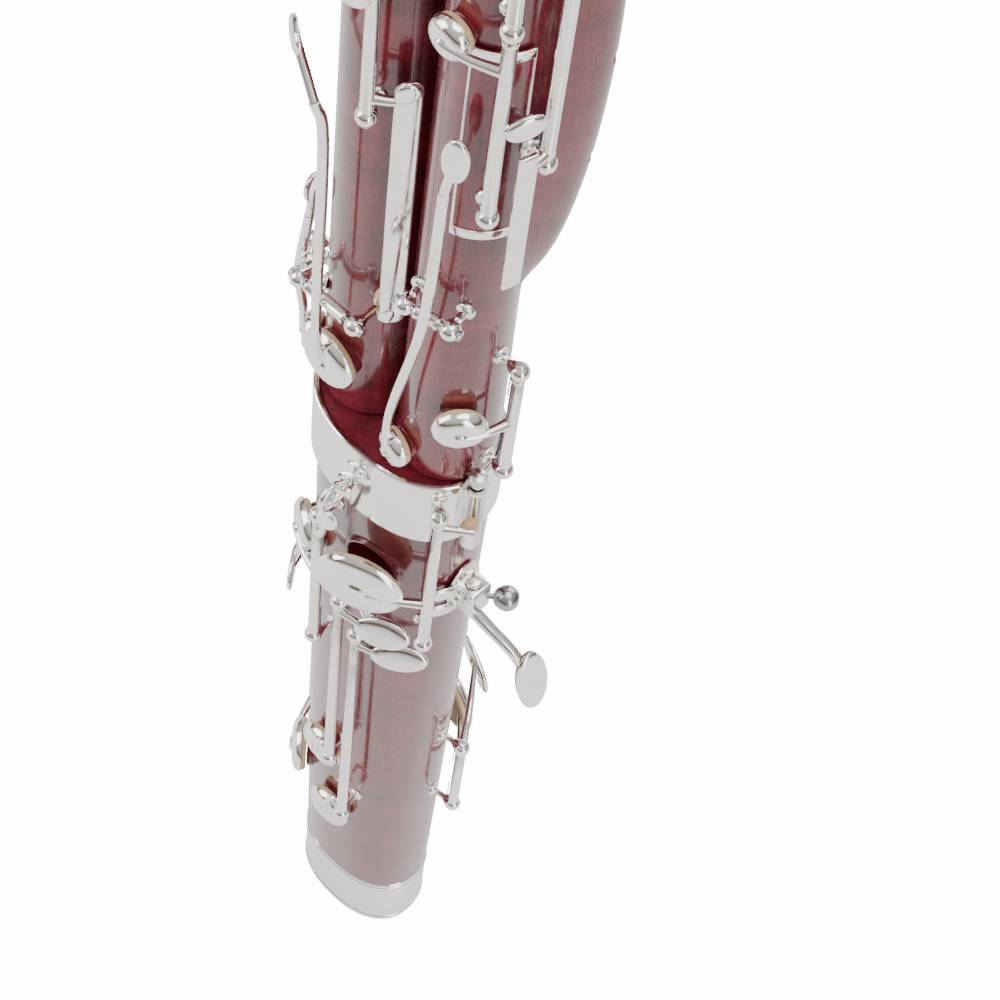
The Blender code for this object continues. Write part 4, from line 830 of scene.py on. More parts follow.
def makeCorks():
    # Cork round the tenons and the crook's end, where one part pushes into another.
    top, r = topOf("long"), longWood["bellTenon"]
    ring = [(r - 0.0003, top - 0.004), (r + 0.0012, top - 0.0045), (r + 0.0014, top - 0.006),
            (r + 0.0014, top - 0.028), (r + 0.0012, top - 0.0295), (r - 0.0003, top - 0.030)]
    gather("bellTenonCork", [lathe(ring, tubeAt("long"), 64, ring=True)], naturalCork, "root")
    seat = topOf("wing") - crookDepth
    plug = lathe([(0.0055, seat + 0.002), (0.0057, seat + 0.0016), (0.0059, seat + 0.003),
                  (0.0059, seat + 0.0285), (0.0055, seat + 0.029)], tubeAt("wing"), 40, ring=True)
    gather("bocalCork", [plug], naturalCork, "bocal", ["bocal_cork"])
    for nodeName in ("wing_tenon_cork", "long_tenon_cork", "u_tube_gasket"):
        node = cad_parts[nodeName]
        for holder in node.material_slots:
            holder.material = naturalCork
    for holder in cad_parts["u_tube"].material_slots:
        holder.material = ringPlate


pinCentre = makeFerrule()
makeBootCap()
makeRings()
makeCorks()
print("bands and corks made")


# Keywork.

def makeScrewHead():
    # One slotted screw end, copied wherever a rod is screwed in.
    r = keywork["screw"]
    head = lathe([(0, -0.0012), (r * 0.8, -0.0012), (r * 0.8, 0.0), (r, 0.0002), (r, 0.0008),
                  (r * 0.82, 0.0012), (r * 0.4, 0.00135), (0, 0.0014)], steps=24)
    slotTool = softBox((0, 0, 0.0014), (0, 0, 1), (1, 0, 0), 0.006, 0.00055, 0.0010, 0.00005, 1)
    return cutAway(head, [slotTool])


screwTemplate = makeScrewHead()


def copyOf(template, matrix):
    deselect()
    piece = template.copy()
    piece.data = template.data.copy()
    bpy.context.collection.objects.link(piece)
    return put(piece, matrix)


def post(base, top):
    # A turned post: flange, waist and ball.
    length, r, way = (top - base).length, keywork["ball"], (top - base).normalized()
    profile = [(0, -0.0008), (0.0033, -0.0008), (0.0034, 0.0002), (0.0031, 0.0007), (0.0022, 0.0010),
               (keywork["shaft"], 0.0018), (keywork["shaft"] * 0.92, max(0.0022, length - r - 0.0012)),
               (keywork["shaft"] * 1.35, max(0.0026, length - r - 0.0002))]
    for step in range(1, 9):
        angle = -math.pi / 2 + math.pi * (0.16 + 0.84 * step / 8)
        profile.append((max(0.0, r * math.cos(angle)), length + r * math.sin(angle)))
    return lathe(profile, Matrix.Translation(base) @ facing(way), 24)


def hinge(name, node, joint, turn, heights, lift=None, base=0.0, at=None, extra=()):
    # Posts with the steel rod through them. Returns the rod's place.
    lift = keywork["lift"] if lift is None else lift
    middle = spot(joint, turn, (heights[0] + heights[-1]) / 2, lift) if at is None else at
    axis = Vector((middle.x, middle.y, 0.0))
    levels = [foot(joint) + height for height in heights]
    posts, springs = [], []
    low, high = Vector((axis.x, axis.y, levels[0])), Vector((axis.x, axis.y, levels[-1]))
    rod = roundBar(low, high, keywork["rod"], 16, 0.0001)
    for height, level in zip(heights, levels):
        onFerrule = joint == "boot" and height > boot["height"] - ferruleLook["height"]
        skin = spot(joint, turn, height, base + (keywork["gap"] + keywork["ferrule"] if onFerrule else 0.0))
        posts.append(post(skin, Vector((axis.x, axis.y, level))))
    r = keywork["ball"]
    screws = [copyOf(screwTemplate, Matrix.Translation(high + up * (r - 0.0006))),
              copyOf(screwTemplate, Matrix.Translation(low - up * (r - 0.0006)) @ facing((0, 0, -1)))]
    for number, level in enumerate(levels):  # needle springs, one out of each post
        way = -1 if number == len(levels) - 1 else 1
        out = (Vector((axis.x, axis.y, level)) - spot(joint, turn, level - foot(joint))).normalized()
        start = Vector((axis.x, axis.y, level)) - out * (keywork["sleeve"] + 0.0011)
        springs.append(roundBar(start + up * way * 0.0015, start + up * way * 0.019, 0.00028, 8, 0))
    gather(name + "Posts", posts + list(extra), silverPlate, "root", [node])
    gather(name + "Rod", [rod] + screws, rodSteel, "root")
    gather(name + "Springs", springs, bluedSteel, "root")
    return {"joint": joint, "axis": axis}


def crossHinge(name, node, joint, turn, height, halfSpan, lift=0.008):
    level = foot(joint) + height
    out = outward(joint, turn, level)
    across = up.cross(out).normalized()
    centre = spot(joint, turn, height, lift)
    radius = tubeRadius(joint, level)
    depth = math.sqrt(radius ** 2 - (halfSpan - keywork["shaft"]) ** 2)
    core = Vector((tubes[joint]["axisX"], 0.0, level))
    rod = roundBar(centre - across * halfSpan, centre + across * halfSpan, keywork["rod"], 16, 0.0001)
    posts, metal = [], [rod]
    for side in (-1, 1):
        end = centre + across * halfSpan * side
        posts.append(post(core + out * depth + across * halfSpan * side, end))
        tip = Matrix.Translation(end + across * side * (keywork["ball"] - 0.0006)) @ facing(across * side)
        metal.append(copyOf(screwTemplate, tip))
    gather(name + "Posts", posts, silverPlate, "root", [node])
    gather(name + "Rod", metal, rodSteel, "root")
    return {"joint": joint, "centre": centre, "across": across, "out": out, "halfSpan": halfSpan}


def padCup(seat, out, radius):
    # Domed cup with a rolled rim, and the boss its arm is brazed to.
    h = keywork["cupHeight"]
    profile = [(0, h), (radius * 0.30, h * 0.985), (radius * 0.55, h * 0.93), (radius * 0.76, h * 0.80),
               (radius * 0.90, h * 0.56), (radius * 0.965, h * 0.30), (radius * 0.985, h * 0.12),
               (radius, h * 0.05), (radius, -0.0003), (radius * 0.975, -0.0005), (radius * 0.945, -0.0003),
               (radius * 0.93, h * 0.15), (radius * 0.85, h * 0.40), (0, h * 0.45)]
    shell = lathe(profile, Matrix.Translation(seat) @ facing(out), 48)
    boss = lathe([(0, h * 1.26), (radius * 0.16, h * 1.26), (radius * 0.22, h * 1.18),
                  (radius * 0.26, h * 1.0), (radius * 0.30, h * 0.9), (0, h * 0.8)],
                 Matrix.Translation(seat) @ facing(out), 28)
    return [shell, boss]


def padDisc(seat, out, radius, hole, floorGap=0.0):
    # Felt pad in a leather skin, with the ring the tone hole has pressed into it.
    drop = keywork["padRoom"] - toneRim["stand"] - floorGap
    top, edge = 0.0012, radius * 0.935
    low = -drop + 0.00025
    profile = [(0, top), (edge * 0.96, top), (edge, top - 0.0006), (edge, low + 0.0014),
               (edge * 0.975, low + 0.0005), (edge * 0.93, low)]
    if hole + 0.0018 < edge * 0.9:
        profile += [(hole + 0.0018, low), (hole + 0.0011, low + 0.00016), (hole + 0.0004, low)]
    profile += [(0, low - 0.00005)]
    return lathe(profile, Matrix.Translation(seat) @ facing(out), 44)


def touch(centre, out, along, length, width, thick=None):
    # A rounded finger plate, a little crowned, with a turned-down edge.
    half = (thick or keywork["touch"]) / 2
    profile = [(0, half * 1.25), (0.25, half * 1.2), (0.38, half * 1.02), (0.455, half * 0.72),
               (0.49, half * 0.25), (0.5, -half * 0.2), (0.492, -half * 0.7), (0.465, -half * 0.95),
               (0.40, -half), (0, -half * 0.8)]
    return lathe(profile, Matrix.Translation(centre) @ facing(out, along)
                 @ Matrix.Diagonal((length, width, 1, 1)), 44)


def sleeve(start, end):
    # The key's tube, with a collar turned at each end.
    r, length = keywork["sleeve"], (Vector(end) - Vector(start)).length
    bore = keywork["rod"] + keywork["gap"]
    profile = [(bore, 0.0), (r + 0.00005, 0.0), (r + 0.0002, 0.0003), (r + 0.0002, 0.0012), (r, 0.0015),
               (r, length - 0.0015), (r + 0.0002, length - 0.0012), (r + 0.0002, length - 0.0003),
               (r + 0.00005, length), (bore, length)]
    return lathe(profile, Matrix.Translation(Vector(start)) @ facing(Vector(end) - Vector(start)), 24,
                 ring=True)


def armBar(points, tip=0.8):
    r = keywork["arm"]
    bar = bentBar(points, r, 5, [r * 1.25, r, r * 0.92, r * tip])
    return [bar, ball(points[0], r * 1.3, 16)]


def sideArm(rod, end, bow=Vector()):
    # From the rod to a point level with it, bowed out a little at the middle.
    root = Vector((rod["axis"].x, rod["axis"].y, end.z))
    return [root, (root + end) / 2 + bow, end]


def armPath(root, end, out, rise=0.001):
    knee = (root + end) / 2 + out * rise
    if abs(end.z - root.z) > 0.0018:
        knee.z = root.z
    return [root, knee, end]


def finishKey(name, metal, pads, body, node, swing=None):
    gather(name, metal, silverPlate, body, [node], 42, swing)
    if pads:
        pad = gather(name + "Pad", pads, padLeather, body, (), 50, swing)


def uprightKey(name, node, rod, low, high, hole=None, touches=(), arms=(), extra=(), opens=0.0, way=None,
               lean=0.0, rise=0.001):
    # A key on an upright rod. Opens is how far it stands open at rest, and lean how far its touches tip up.
    joint, axis = rod["joint"], rod["axis"]
    margin = keywork["ball"] + keywork["gap"] + 0.0001
    lowZ, highZ = foot(joint) + low + margin, foot(joint) + high - margin
    metal, pads, direction = [sleeve((axis.x, axis.y, lowZ), (axis.x, axis.y, highZ))], [], 1.0
    if hole:
        holeJoint, turn, height, holeRadius, cupRadius = toneHoles[hole]
        seat = spot(holeJoint, turn, height, keywork["padRoom"])
        out = outward(holeJoint, turn, seat.z)
        rootZ = min(max(seat.z, lowZ + keywork["arm"]), highZ - keywork["arm"])
        root = Vector((axis.x, axis.y, rootZ))
        crown = seat + out * keywork["cupHeight"] * 0.95
        metal += padCup(seat, out, cupRadius) + armBar(armPath(root, crown, out, rise))
        pads.append(padDisc(seat, out, cupRadius, holeRadius))
        direction = 1.0 if up.cross(crown - root).dot(out) > 0 else -1.0
    for turn, height, lift, length, width, slant in touches:
        centre = spot(joint, turn, height, lift)
        flatOut = outward(joint, turn, centre.z)
        side = up.cross(flatOut)
        out = Matrix.Rotation(math.radians(-lean), 3, side) @ flatOut
        along = Matrix.Rotation(math.radians(slant), 3, out) @ side
        rootZ = min(max(centre.z, lowZ + keywork["arm"]), highZ - keywork["arm"])
        root = Vector((axis.x, axis.y, rootZ))
        metal.append(touch(centre, out, along, length, width))
        metal += armBar(armPath(root, centre - flatOut * 0.0004, flatOut), 0.6)
    for points in arms:
        metal += armBar([Vector(point) for point in points])
    swing = None
    if opens:
        turnWay = math.radians(opens * (way or direction))
        swing = Matrix.Translation(axis) @ Matrix.Rotation(turnWay, 4, "Z") @ Matrix.Translation(-axis)
    finishKey(name, metal + list(extra), pads, node, node, swing)
    return swing


def seeSaw(name, node, rod, hole, shank, finger):
    across, centre = rod["across"], rod["centre"]
    reach = rod["halfSpan"] - keywork["ball"] - keywork["gap"] - 0.0001
    joint, turn, height, holeRadius, cupRadius = toneHoles[hole]
    seat = spot(joint, turn, height, keywork["padRoom"])
    cupOut = outward(joint, turn, seat.z)
    crown = seat + cupOut * keywork["cupHeight"] * 0.95
    metal = [sleeve(centre - across * reach, centre + across * reach)] + padCup(seat, cupOut, cupRadius)
    metal.append(bentBar([crown, *shank], keywork["arm"], 6, [0.0014, 0.0018, 0.0020, 0.0018]))
    turn, height, lift, length, width, slant = finger
    middle = spot(joint, turn, height, lift)
    touchOut = outward(joint, turn, middle.z)
    along = Matrix.Rotation(math.radians(slant), 3, touchOut) @ up.cross(touchOut)
    metal += [touch(middle, touchOut, along, length, width),
              bentBar([shank[-1], middle], 0.0016, 1, smooth=False)]
    pad = padDisc(seat, cupOut, cupRadius, holeRadius)
    finishKey(name, metal, [pad], node, node)


def makeBootKeys():
    rod = hinge("lowEHinge", "hinge_low_e", "boot", 62, (0.334, 0.433), 0.0100)
    bumperZ = 0.4255
    bumperTip = spot("boot", 73, bumperZ, 0.0168)
    swing = uprightKey("lowEKey", "low_e_key", rod, 0.334, 0.433, "lowE", opens=14.0,
                       arms=[sideArm(rod, bumperTip)])
    out = outward("boot", 73, bumperZ)
    bumper = lathe([(0, -0.0002), (0.0030, -0.0002), (0.0034, 0.0004), (0.0034, 0.0026), (0.0029, 0.0032),
                    (0, 0.0034)], Matrix.Translation(bumperTip - out * 0.0050) @ facing(out), 28)
    gather("lowEBumper", [bumper], naturalCork, "low_e_key", (), 40, swing)

    rod = hinge("thumbBFlatHinge", "hinge_thumb_b_flat", "boot", -19.5, (0.290, 0.388))
    uprightKey("thumbBFlatKey", "thumb_b_flat_key", rod, 0.290, 0.388, "thumbBFlat",
               touches=[(-3.5, 0.4000, 0.0128, 0.014, 0.009, 60)])

    start, end = spot("boot", 7, 0.338, 0.0012), spot("boot", 24, 0.3205, 0.0012)
    strap = softBox((start + end) / 2, outward("boot", 16, 0.33), end - start, (end - start).length + 0.007,
                    0.006, 0.0013)
    sharpRod = hinge("thumbFSharpHinge", "hinge_thumb_pair", "boot", 7, (0.192, 0.338), 0.0100, extra=[strap])
    flatRod = hinge("thumbAFlatHinge", "hinge_thumb_pair", "boot", 24, (0.143, 0.3205), 0.0100)
    uprightKey("thumbFSharpKey", "thumb_f_sharp_key", sharpRod, 0.192, 0.338, "thumbFSharp",
               touches=[(41, 0.3305, 0.0085, 0.023, 0.014, 8)], lean=25)
    uprightKey("thumbAFlatKey", "thumb_a_flat_key", flatRod, 0.143, 0.3205, "thumbAFlat",
               touches=[(52, 0.3125, 0.0078, 0.023, 0.013, 4)], lean=25)

    rod = hinge("lowFHinge", "hinge_low_f", "boot", 97, (0.143, 0.203), 0.0105)
    uprightKey("lowFKey", "low_f_key", rod, 0.143, 0.203, "lowF", opens=10.0,
               touches=[(150, 0.207, 0.0100, 0.028, 0.014, 12)])
    rod = hinge("lowGHinge", "hinge_low_g", "boot", -152, (0.205, 0.290), 0.0100)
    uprightKey("lowGKey", "low_g_key", rod, 0.205, 0.290, "lowG", opens=10.0,
               touches=[(-178, 0.276, 0.0095, 0.020, 0.012, 0)])
    rod = hinge("littleFingerHinge", "hinge_little_finger", "boot", -95, (0.085, 0.240, 0.352), 0.0100)
    uprightKey("gSharpKey", "g_sharp_key", rod, 0.240, 0.352, "gSharp",
               touches=[(-66, 0.290, 0.0090, 0.022, 0.016, 10)])
    uprightKey("frontFSharpKey", "front_f_sharp_key", rod, 0.085, 0.240, "frontFSharp",
               touches=[(-128, 0.205, 0.0095, 0.022, 0.012, 0)])


def makeLongKeys():
    top, axisX = boot["height"], tubes["long"]["axisX"]
    rod = crossHinge("lowEFlatHinge", "hinge_low_e_flat", "long", 0, 0.072, 0.0130)
    over, x = rod["centre"].y - 0.0028, axisX - 0.002
    seeSaw("lowEFlatKey", "low_e_flat_key", rod, "lowEFlat",
           [Vector((x, over + 0.001, top + 0.046)), Vector((x, over, top + 0.072)),
            Vector((x, over, top + 0.160)), Vector((x - 0.002, over - 0.0025, top + 0.180))],
           (-38, 0.192, 0.0135, 0.020, 0.011, 30))

    rod = crossHinge("lowCSharpHinge", "hinge_low_c_sharp", "long", -62, 0.060, 0.0075, 0.0075)
    bow = [spot("long", *place) for place in ((-57, 0.034, 0.0085), (-60, 0.048, 0.0105),
                                              (-62, 0.060, 0.0103), (-66, 0.082, 0.0085))]
    seeSaw("lowCSharpKey", "low_c_sharp_key", rod, "lowCSharp", bow, (-72, 0.094, 0.0085, 0.020, 0.011, 60))

    rod = hinge("lowDHinge", "hinge_low_d", "long", 24, (0.182, 0.252), 0.0090)
    leverTurn = toneHoles["lowD"][1]
    high, low = spot("long", leverTurn, 0.195, 0.0085), spot("long", leverTurn, 0.078, 0.0085)
    out, root = outward("long", leverTurn, 0), high - Vector((0, 0, 0.004))
    lever = softBox((high + low) / 2, out, up, (high - low).length, 0.0085, 0.0022, 0.0009, 4)
    tip = touch(low, out, up, 0.0093, 0.0093, 0.0027)
    head = touch(high, out, up, 0.0090, 0.0086, 0.0024)
    uprightKey("lowDKey", "low_d_key", rod, 0.182, 0.252, touches=[(4, 0.236, 0.0100, 0.020, 0.014, 0)],
               arms=[sideArm(rod, root, out * 0.0006)], extra=[lever, tip, head])
    seat = spot("long", leverTurn, 0.080, keywork["padRoom"])
    pad = padDisc(seat, out, 0.0052, 0.0040)
    pad = gather("lowDPad", [pad], padLeather, "low_d_key", (), 50)

    rod = hinge("lowCBHinge", "hinge_low_c_b", "long", -55, (0.262, 0.402, 0.520), 0.0090)
    uprightKey("lowCKey", "low_c_key", rod, 0.262, 0.402, "lowC", opens=11.0,
               touches=[(-14, 0.272, 0.0105, 0.026, 0.014, 0)])
    uprightKey("lowBKey", "low_b_key", rod, 0.402, 0.520, "lowB", opens=11.0,
               touches=[(-22, 0.436, 0.0100, 0.018, 0.012, 0)])

    rod = hinge("lowBFlatHinge", "hinge_low_b_flat", "long", 46, (0.292, 0.560), 0.0090)
    axis, bridgeZ = rod["axis"], top + 0.553
    uprightKey("lowBFlatLever", "low_b_flat_lever", rod, 0.292, 0.560, opens=11.0, way=1.0,
               touches=[(22, 0.303, 0.0110, 0.020, 0.013, 0)],
               arms=[[(axis.x, axis.y, bridgeZ - 0.004), (axis.x + 0.004, axis.y - 0.006, bridgeZ),
                      (axis.x + 0.004, axis.y - 0.007, bridgeZ + 0.050)]])
    return axis


def makeBellKey(axis):
    floor = tubes["bell"]["foot"]
    rod = hinge("bellBFlatHinge", "hinge_bell_b_flat", "bell", 43, (0.055, 0.175), at=axis)
    uprightKey("bellBFlatKey", "bell_b_flat_key", rod, 0.055, 0.175, "bellBFlat", opens=11.0, rise=0.0042,
               arms=[[(axis.x, axis.y, floor + 0.066), (axis.x - 0.006, axis.y - 0.006, floor + 0.060),
                      (axis.x - 0.002, axis.y - 0.0075, floor + 0.040)]])


whisperPlace = {"stripTurn": 66, "stripLift": 0.0095, "stripWidth": 0.0066, "nibRise": 0.016,
                "nibLength": 0.003, "nibBase": 0.0052}


def makeWingKeys():
    rod = crossHinge("wingCSharpHinge", "hinge_wing_c_sharp", "wing", 12, 0.108, 0.0085, 0.0075)
    shank = [spot("wing", -13, 0.040, 0.0080), rod["centre"] + rod["out"] * 0.0028,
             spot("wing", 17, 0.180, 0.0110)]
    seeSaw("wingCSharpKey", "wing_c_sharp_key", rod, "wingCSharp", shank,
           (22, 0.196, 0.0110, 0.020, 0.009, 90))

    rod = hinge("wingVentHinge", "hinge_wing_vent", "wing", 90, (0.010, 0.074), 0.0085)
    uprightKey("wingVentKey", "wing_vent_key", rod, 0.010, 0.074, "wingVent")

    base = 0.0006 + keywork["saddle"]
    rod = hinge("whisperHinge", "hinge_whisper", "wing", 84, (0.190, 0.430), 0.0100, base)
    axis, look = rod["axis"], whisperPlace
    high, low = (spot("wing", look["stripTurn"], height, look["stripLift"]) for height in (0.200, 0.134))
    out = outward("wing", look["stripTurn"], 0)
    strip = softBox((high + low) / 2, out, up, (high - low).length, look["stripWidth"], 0.0020, 0.0008, 4)
    root = high - Vector((0, 0, 0.0045))
    wingX = tubes["wing"]["axisX"]
    nibZ, nibY = topOf("wing") + look["nibRise"], -look["nibBase"] - look["nibLength"] - 0.0015
    cupSeat = Vector((wingX, nibY, nibZ))
    cup = lathe([(0, 0.0042), (0.0024, 0.0038), (0.0034, 0.0018), (0.0035, 0.0), (0.0031, 0.0),
                 (0.0030, 0.0008), (0, 0.0009)], Matrix.Translation(cupSeat) @ facing((0, -1, 0)), 32)
    start, clear = Vector((axis.x, axis.y, boot["height"] + 0.4197)), Vector((0.0075, 0, 0))
    nibArm = [start, start + clear, start + clear + up * 0.030,
              Vector((wingX + 0.011, nibY - 0.0030, nibZ + 0.0003)),
              Vector((wingX + 0.0005, nibY - 0.0025, nibZ + 0.0003))]
    swing = uprightKey("whisperKey", "whisper_key", rod, 0.190, 0.430, opens=8.0, way=1.0,
                       arms=[sideArm(rod, root, out * 0.0008), nibArm], extra=[strip, cup])
    pad = lathe([(0, 0.0012), (0.0029, 0.0012), (0.0029, -0.0008), (0.0024, -0.0012), (0, -0.0013)],
                Matrix.Translation(cupSeat) @ facing((0, -1, 0)), 28)
    pad = gather("whisperPad", [pad], padLeather, "whisper_key", (), 50, swing)

    rod = hinge("highKeysHinge", "hinge_high_keys", "wing", 46, (0.170, 0.256, 0.372), 0.0100, base)
    uprightKey("highAKey", "high_a_key", rod, 0.170, 0.256, "highA",
               touches=[(62, 0.214, 0.0110, 0.013, 0.010, 30)])
    uprightKey("highCKey", "high_c_key", rod, 0.256, 0.372, "highC",
               touches=[(60, 0.318, 0.0100, 0.012, 0.010, 0)])


makeBootKeys()
print("boot keys made")
leverAxis = makeLongKeys()
makeBellKey(leverAxis)
makeWingKeys()
bpy.data.objects.remove(screwTemplate)
print("wing, long and bell keys made")


# Fittings.

saddleLook = {"low": 0.148, "high": 0.236, "turns": (14, 78), "lift": 0.0006, "thick": 0.0012,
              "rim": 0.045, "sink": 0.0006, "soften": 0.0004, "rows": 18, "cols": 26}


def wingPatch(thick, rimOnly=False):
    # A thin plate bent to the wing. With rimOnly just its outer border is left.
    look = saddleLook
    rows, cols, innerCorners = look["rows"], look["cols"], set()
    deselect()
    bpy.ops.mesh.primitive_grid_add(x_subdivisions=cols, y_subdivisions=rows, size=1.0)
    plate = bpy.context.object
    for vertex in plate.data.vertices:
        shares = []
        for value, count in ((vertex.co.x, cols), (vertex.co.y, rows)):
            step = round((value + 0.5) * count)
            inner = look["rim"] + (1 - 2 * look["rim"]) * (step - 1) / (count - 2)
            shares.append(min(max(inner, 0.0), 1.0) if 0 < step < count else step / count)
        turn = between(look["turns"][0], look["turns"][1], shares[0])
        height = between(look["low"], look["high"], shares[1])
        vertex.co = spot("wing", turn, height, look["lift"])
        vertex.co.z = boot["height"] + height
        if 0 < round(shares[0], 6) < 1 and 0 < round(shares[1], 6) < 1:
            innerCorners.add(vertex.index)
    if rimOnly:
        for element in (*plate.data.vertices, *plate.data.edges):
            element.select = False
        for face in plate.data.polygons:
            face.select = innerCorners.issuperset(face.vertices)
        bpy.ops.object.mode_set(mode="EDIT")
        bpy.ops.mesh.select_mode(type="FACE")
        bpy.ops.mesh.delete(type="FACE")
        bpy.ops.mesh.select_mode(type="VERT")
        bpy.ops.object.mode_set(mode="OBJECT")
    editAll(plate)
    bpy.ops.mesh.normals_make_consistent(inside=False)
    pick(plate)
    shell = plate.modifiers.new("wall", "SOLIDIFY")
    shell.thickness, shell.offset = thick, 1.0
    bpy.ops.object.modifier_apply(modifier="wall")
    return plate


def makeSaddle():
    # The metal rim let into the wing under the left thumb, round a sunk field of dark stained wood: a painted
    # reflection, standing in for the dark surroundings that the polished plate mirrors.
    look = saddleLook
    rim = wingPatch(look["thick"], rimOnly=True)
    pick(rim)
    soften = rim.modifiers.new("edge", "BEVEL")
    soften.width, soften.segments = look["soften"], 3
    soften.limit_method, soften.angle_limit = "ANGLE", math.radians(60)
    bpy.ops.object.modifier_apply(modifier="edge")
    gather("thumbSaddle", [rim], bocalPlate, "root", ["thumb_saddle"])
    # Painted reflection: a dark wood-coloured sheet inside the rim, in place of the polished plate's dark
    # reflection.
    paintedReflectionSheet = wingPatch(look["thick"] - look["sink"])
    gather("thumbSaddlePaintedReflection", [paintedReflectionSheet], stainedMaple, "root")


restLook = {"turn": 88, "height": 0.352, "plate": (0.017, 0.034, 0.0016), "ears": 0.0065, "earTurn": 71,
            "screws": 0.0135, "padWay": (0.93, -0.25, 0.30), "screwSlant": (0.77, 0.64)}


def makeHandRest():
    look = restLook
    out = outward("boot", look["turn"], look["height"])
    side = up.cross(out)
    skin = spot("boot", look["turn"], look["height"], 0.0003)
    length, width, thick = look["plate"]
    plate = touch(skin + out * thick / 2, out, side, length, width, thick)
    centre = skin + out * 0.0055
    block = softBox(centre, out, side, 0.011, 0.016, 0.0100, 0.0014, 4)
    stemTool = roundBar(centre - up * 0.02, centre + up * 0.02, 0.0032, 32, 0)
    cutAway(block, [stemTool])
    parts = [plate, block]
    for lean in (look["ears"], -look["ears"]):
        earOut = outward("boot", look["earTurn"], look["height"])
        ear = spot("boot", look["earTurn"], look["height"] + lean, 0.0030)
        parts.append(touch(ear, earOut, side, 0.0125, 0.0078, 0.0020))
        parts.append(bentBar([skin + out * 0.002 + up * lean, ear], 0.0017, 1, smooth=False))
    for lean in (look["screws"], -look["screws"]):  # wood screws through the plate
        parts.append(lathe([(0, 0.0022), (0.0012, 0.0021), (0.0019, 0.0016), (0.0020, 0.0010), (0, 0.0008)],
                           Matrix.Translation(skin + up * lean) @ facing(out), 24))
    gather("handRestHolder", parts, silverPlate, "root", ["hand_rest_holder"])

    stem = roundBar(centre - up * 0.013, centre + up * 0.012, 0.0029, 28, 0.0004)
    bow = [centre + Vector(step) for step in ((0, 0, -0.011), (0.010, 0.001, -0.016), (0.023, 0.003, -0.024),
                                              (0.031, 0.005, -0.040))]
    arc = bentBar(bow, 0.0026, 8, [0.0028, 0.0026, 0.0024, 0.0020])
    padWay = Vector(look["padWay"]).normalized()
    padCentre = bow[-1] + up * 0.004
    blade = touch(padCentre + padWay * 0.0006, padWay, up, 0.032, 0.014, 0.0018)
    gather("handRestCrutch", [stem, arc, blade], silverPlate, "hand_rest_crutch",
           ["hand_rest_crutch"])
    lining = touch(padCentre - padWay * 0.0009, padWay, up, 0.031, 0.0132, 0.0020)
    lined = gather("handRestLining", [lining], restLeather, "hand_rest_crutch")

    slantOut, slantSide = look["screwSlant"]
    screwWay = (out * slantOut + side * slantSide).normalized()
    start = centre + screwWay * 0.0032
    shaft = roundBar(start, start + screwWay * 0.0075, 0.0012, 20, 0.0001)
    head = lathe([(0, -0.0052), (0.0016, -0.0050), (0.0034, -0.0040), (0.0048, -0.0018), (0.0052, 0.0),
                  (0.0050, 0.0016), (0.0042, 0.0031), (0.0030, 0.0042), (0.0026, 0.0046), (0.0014, 0.0049),
                  (0, 0.0050)], Matrix.Translation(start + screwWay * 0.0100) @ facing(screwWay), 40)
    gather("handRestScrew", [shaft, head], screwSteel, "hand_rest_screw", ["hand_rest_screw"])


def makePinAndRing():
    low = pinCentre - up * (ferruleLook["guideLength"] - 0.010)
    pin = lathe([(0, 0.0), (0.0016, 0.0002), (0.0022, 0.0012), (0.0022, 0.0300), (0.0020, 0.0305),
                 (0.0020, 0.0312), (0.0034, 0.0322), (0.0036, 0.0330), (0.0036, 0.0348), (0.0030, 0.0362),
                 (0.0016, 0.0369), (0, 0.0370)], Matrix.Translation(low), 32)
    gather("whisperPin", [pin], rodSteel, "whisper_pin", ["whisper_pin"])
    out, _, eye = lugPlaces()
    ringRadius = 0.0062
    ring = torus(ringRadius, 0.00128, 56, 16,
                 Matrix.Translation(eye + out * ringRadius) @ facing(up.cross(out)))
    gather("strapRing", [ring], silverPlate, "strap_ring", ["strap_ring"], 60)


lockPlace = {"turn": 130, "height": 0.424, "lift": 0.0050}


def makeLock():
    out = outward("long", lockPlace["turn"], 0)
    centre = spot("long", *lockPlace.values())
    barrel = lathe([(0.0021, -0.010), (0.0033, -0.010), (0.0036, -0.0097), (0.0036, -0.0085),
                    (0.0034, -0.0082), (0.0034, 0.0082), (0.0036, 0.0085), (0.0036, 0.0097),
                    (0.0033, 0.010), (0.0021, 0.010)], Matrix.Translation(centre), 36, ring=True)
    block = softBox(centre - out * 0.0036, out, up, 0.020, 0.008, 0.0022, 0.0007, 3)
    gather("lockBase", [barrel, block], silverPlate, "root", ["joint_lock_base"])
    pin = lathe([(0, -0.013), (0.0014, -0.0129), (0.0018, -0.0122), (0.0018, 0.0182), (0.0034, 0.0184),
                 (0.0036, 0.0188), (0.0032, 0.0195), (0.0036, 0.0202), (0.0032, 0.0209), (0.0036, 0.0216),
                 (0.0035, 0.0226), (0.0020, 0.0230), (0, 0.0231)], Matrix.Translation(centre), 32)
    gather("lockPin", [pin], rodSteel, "joint_lock_pin", ["joint_lock_pin"])


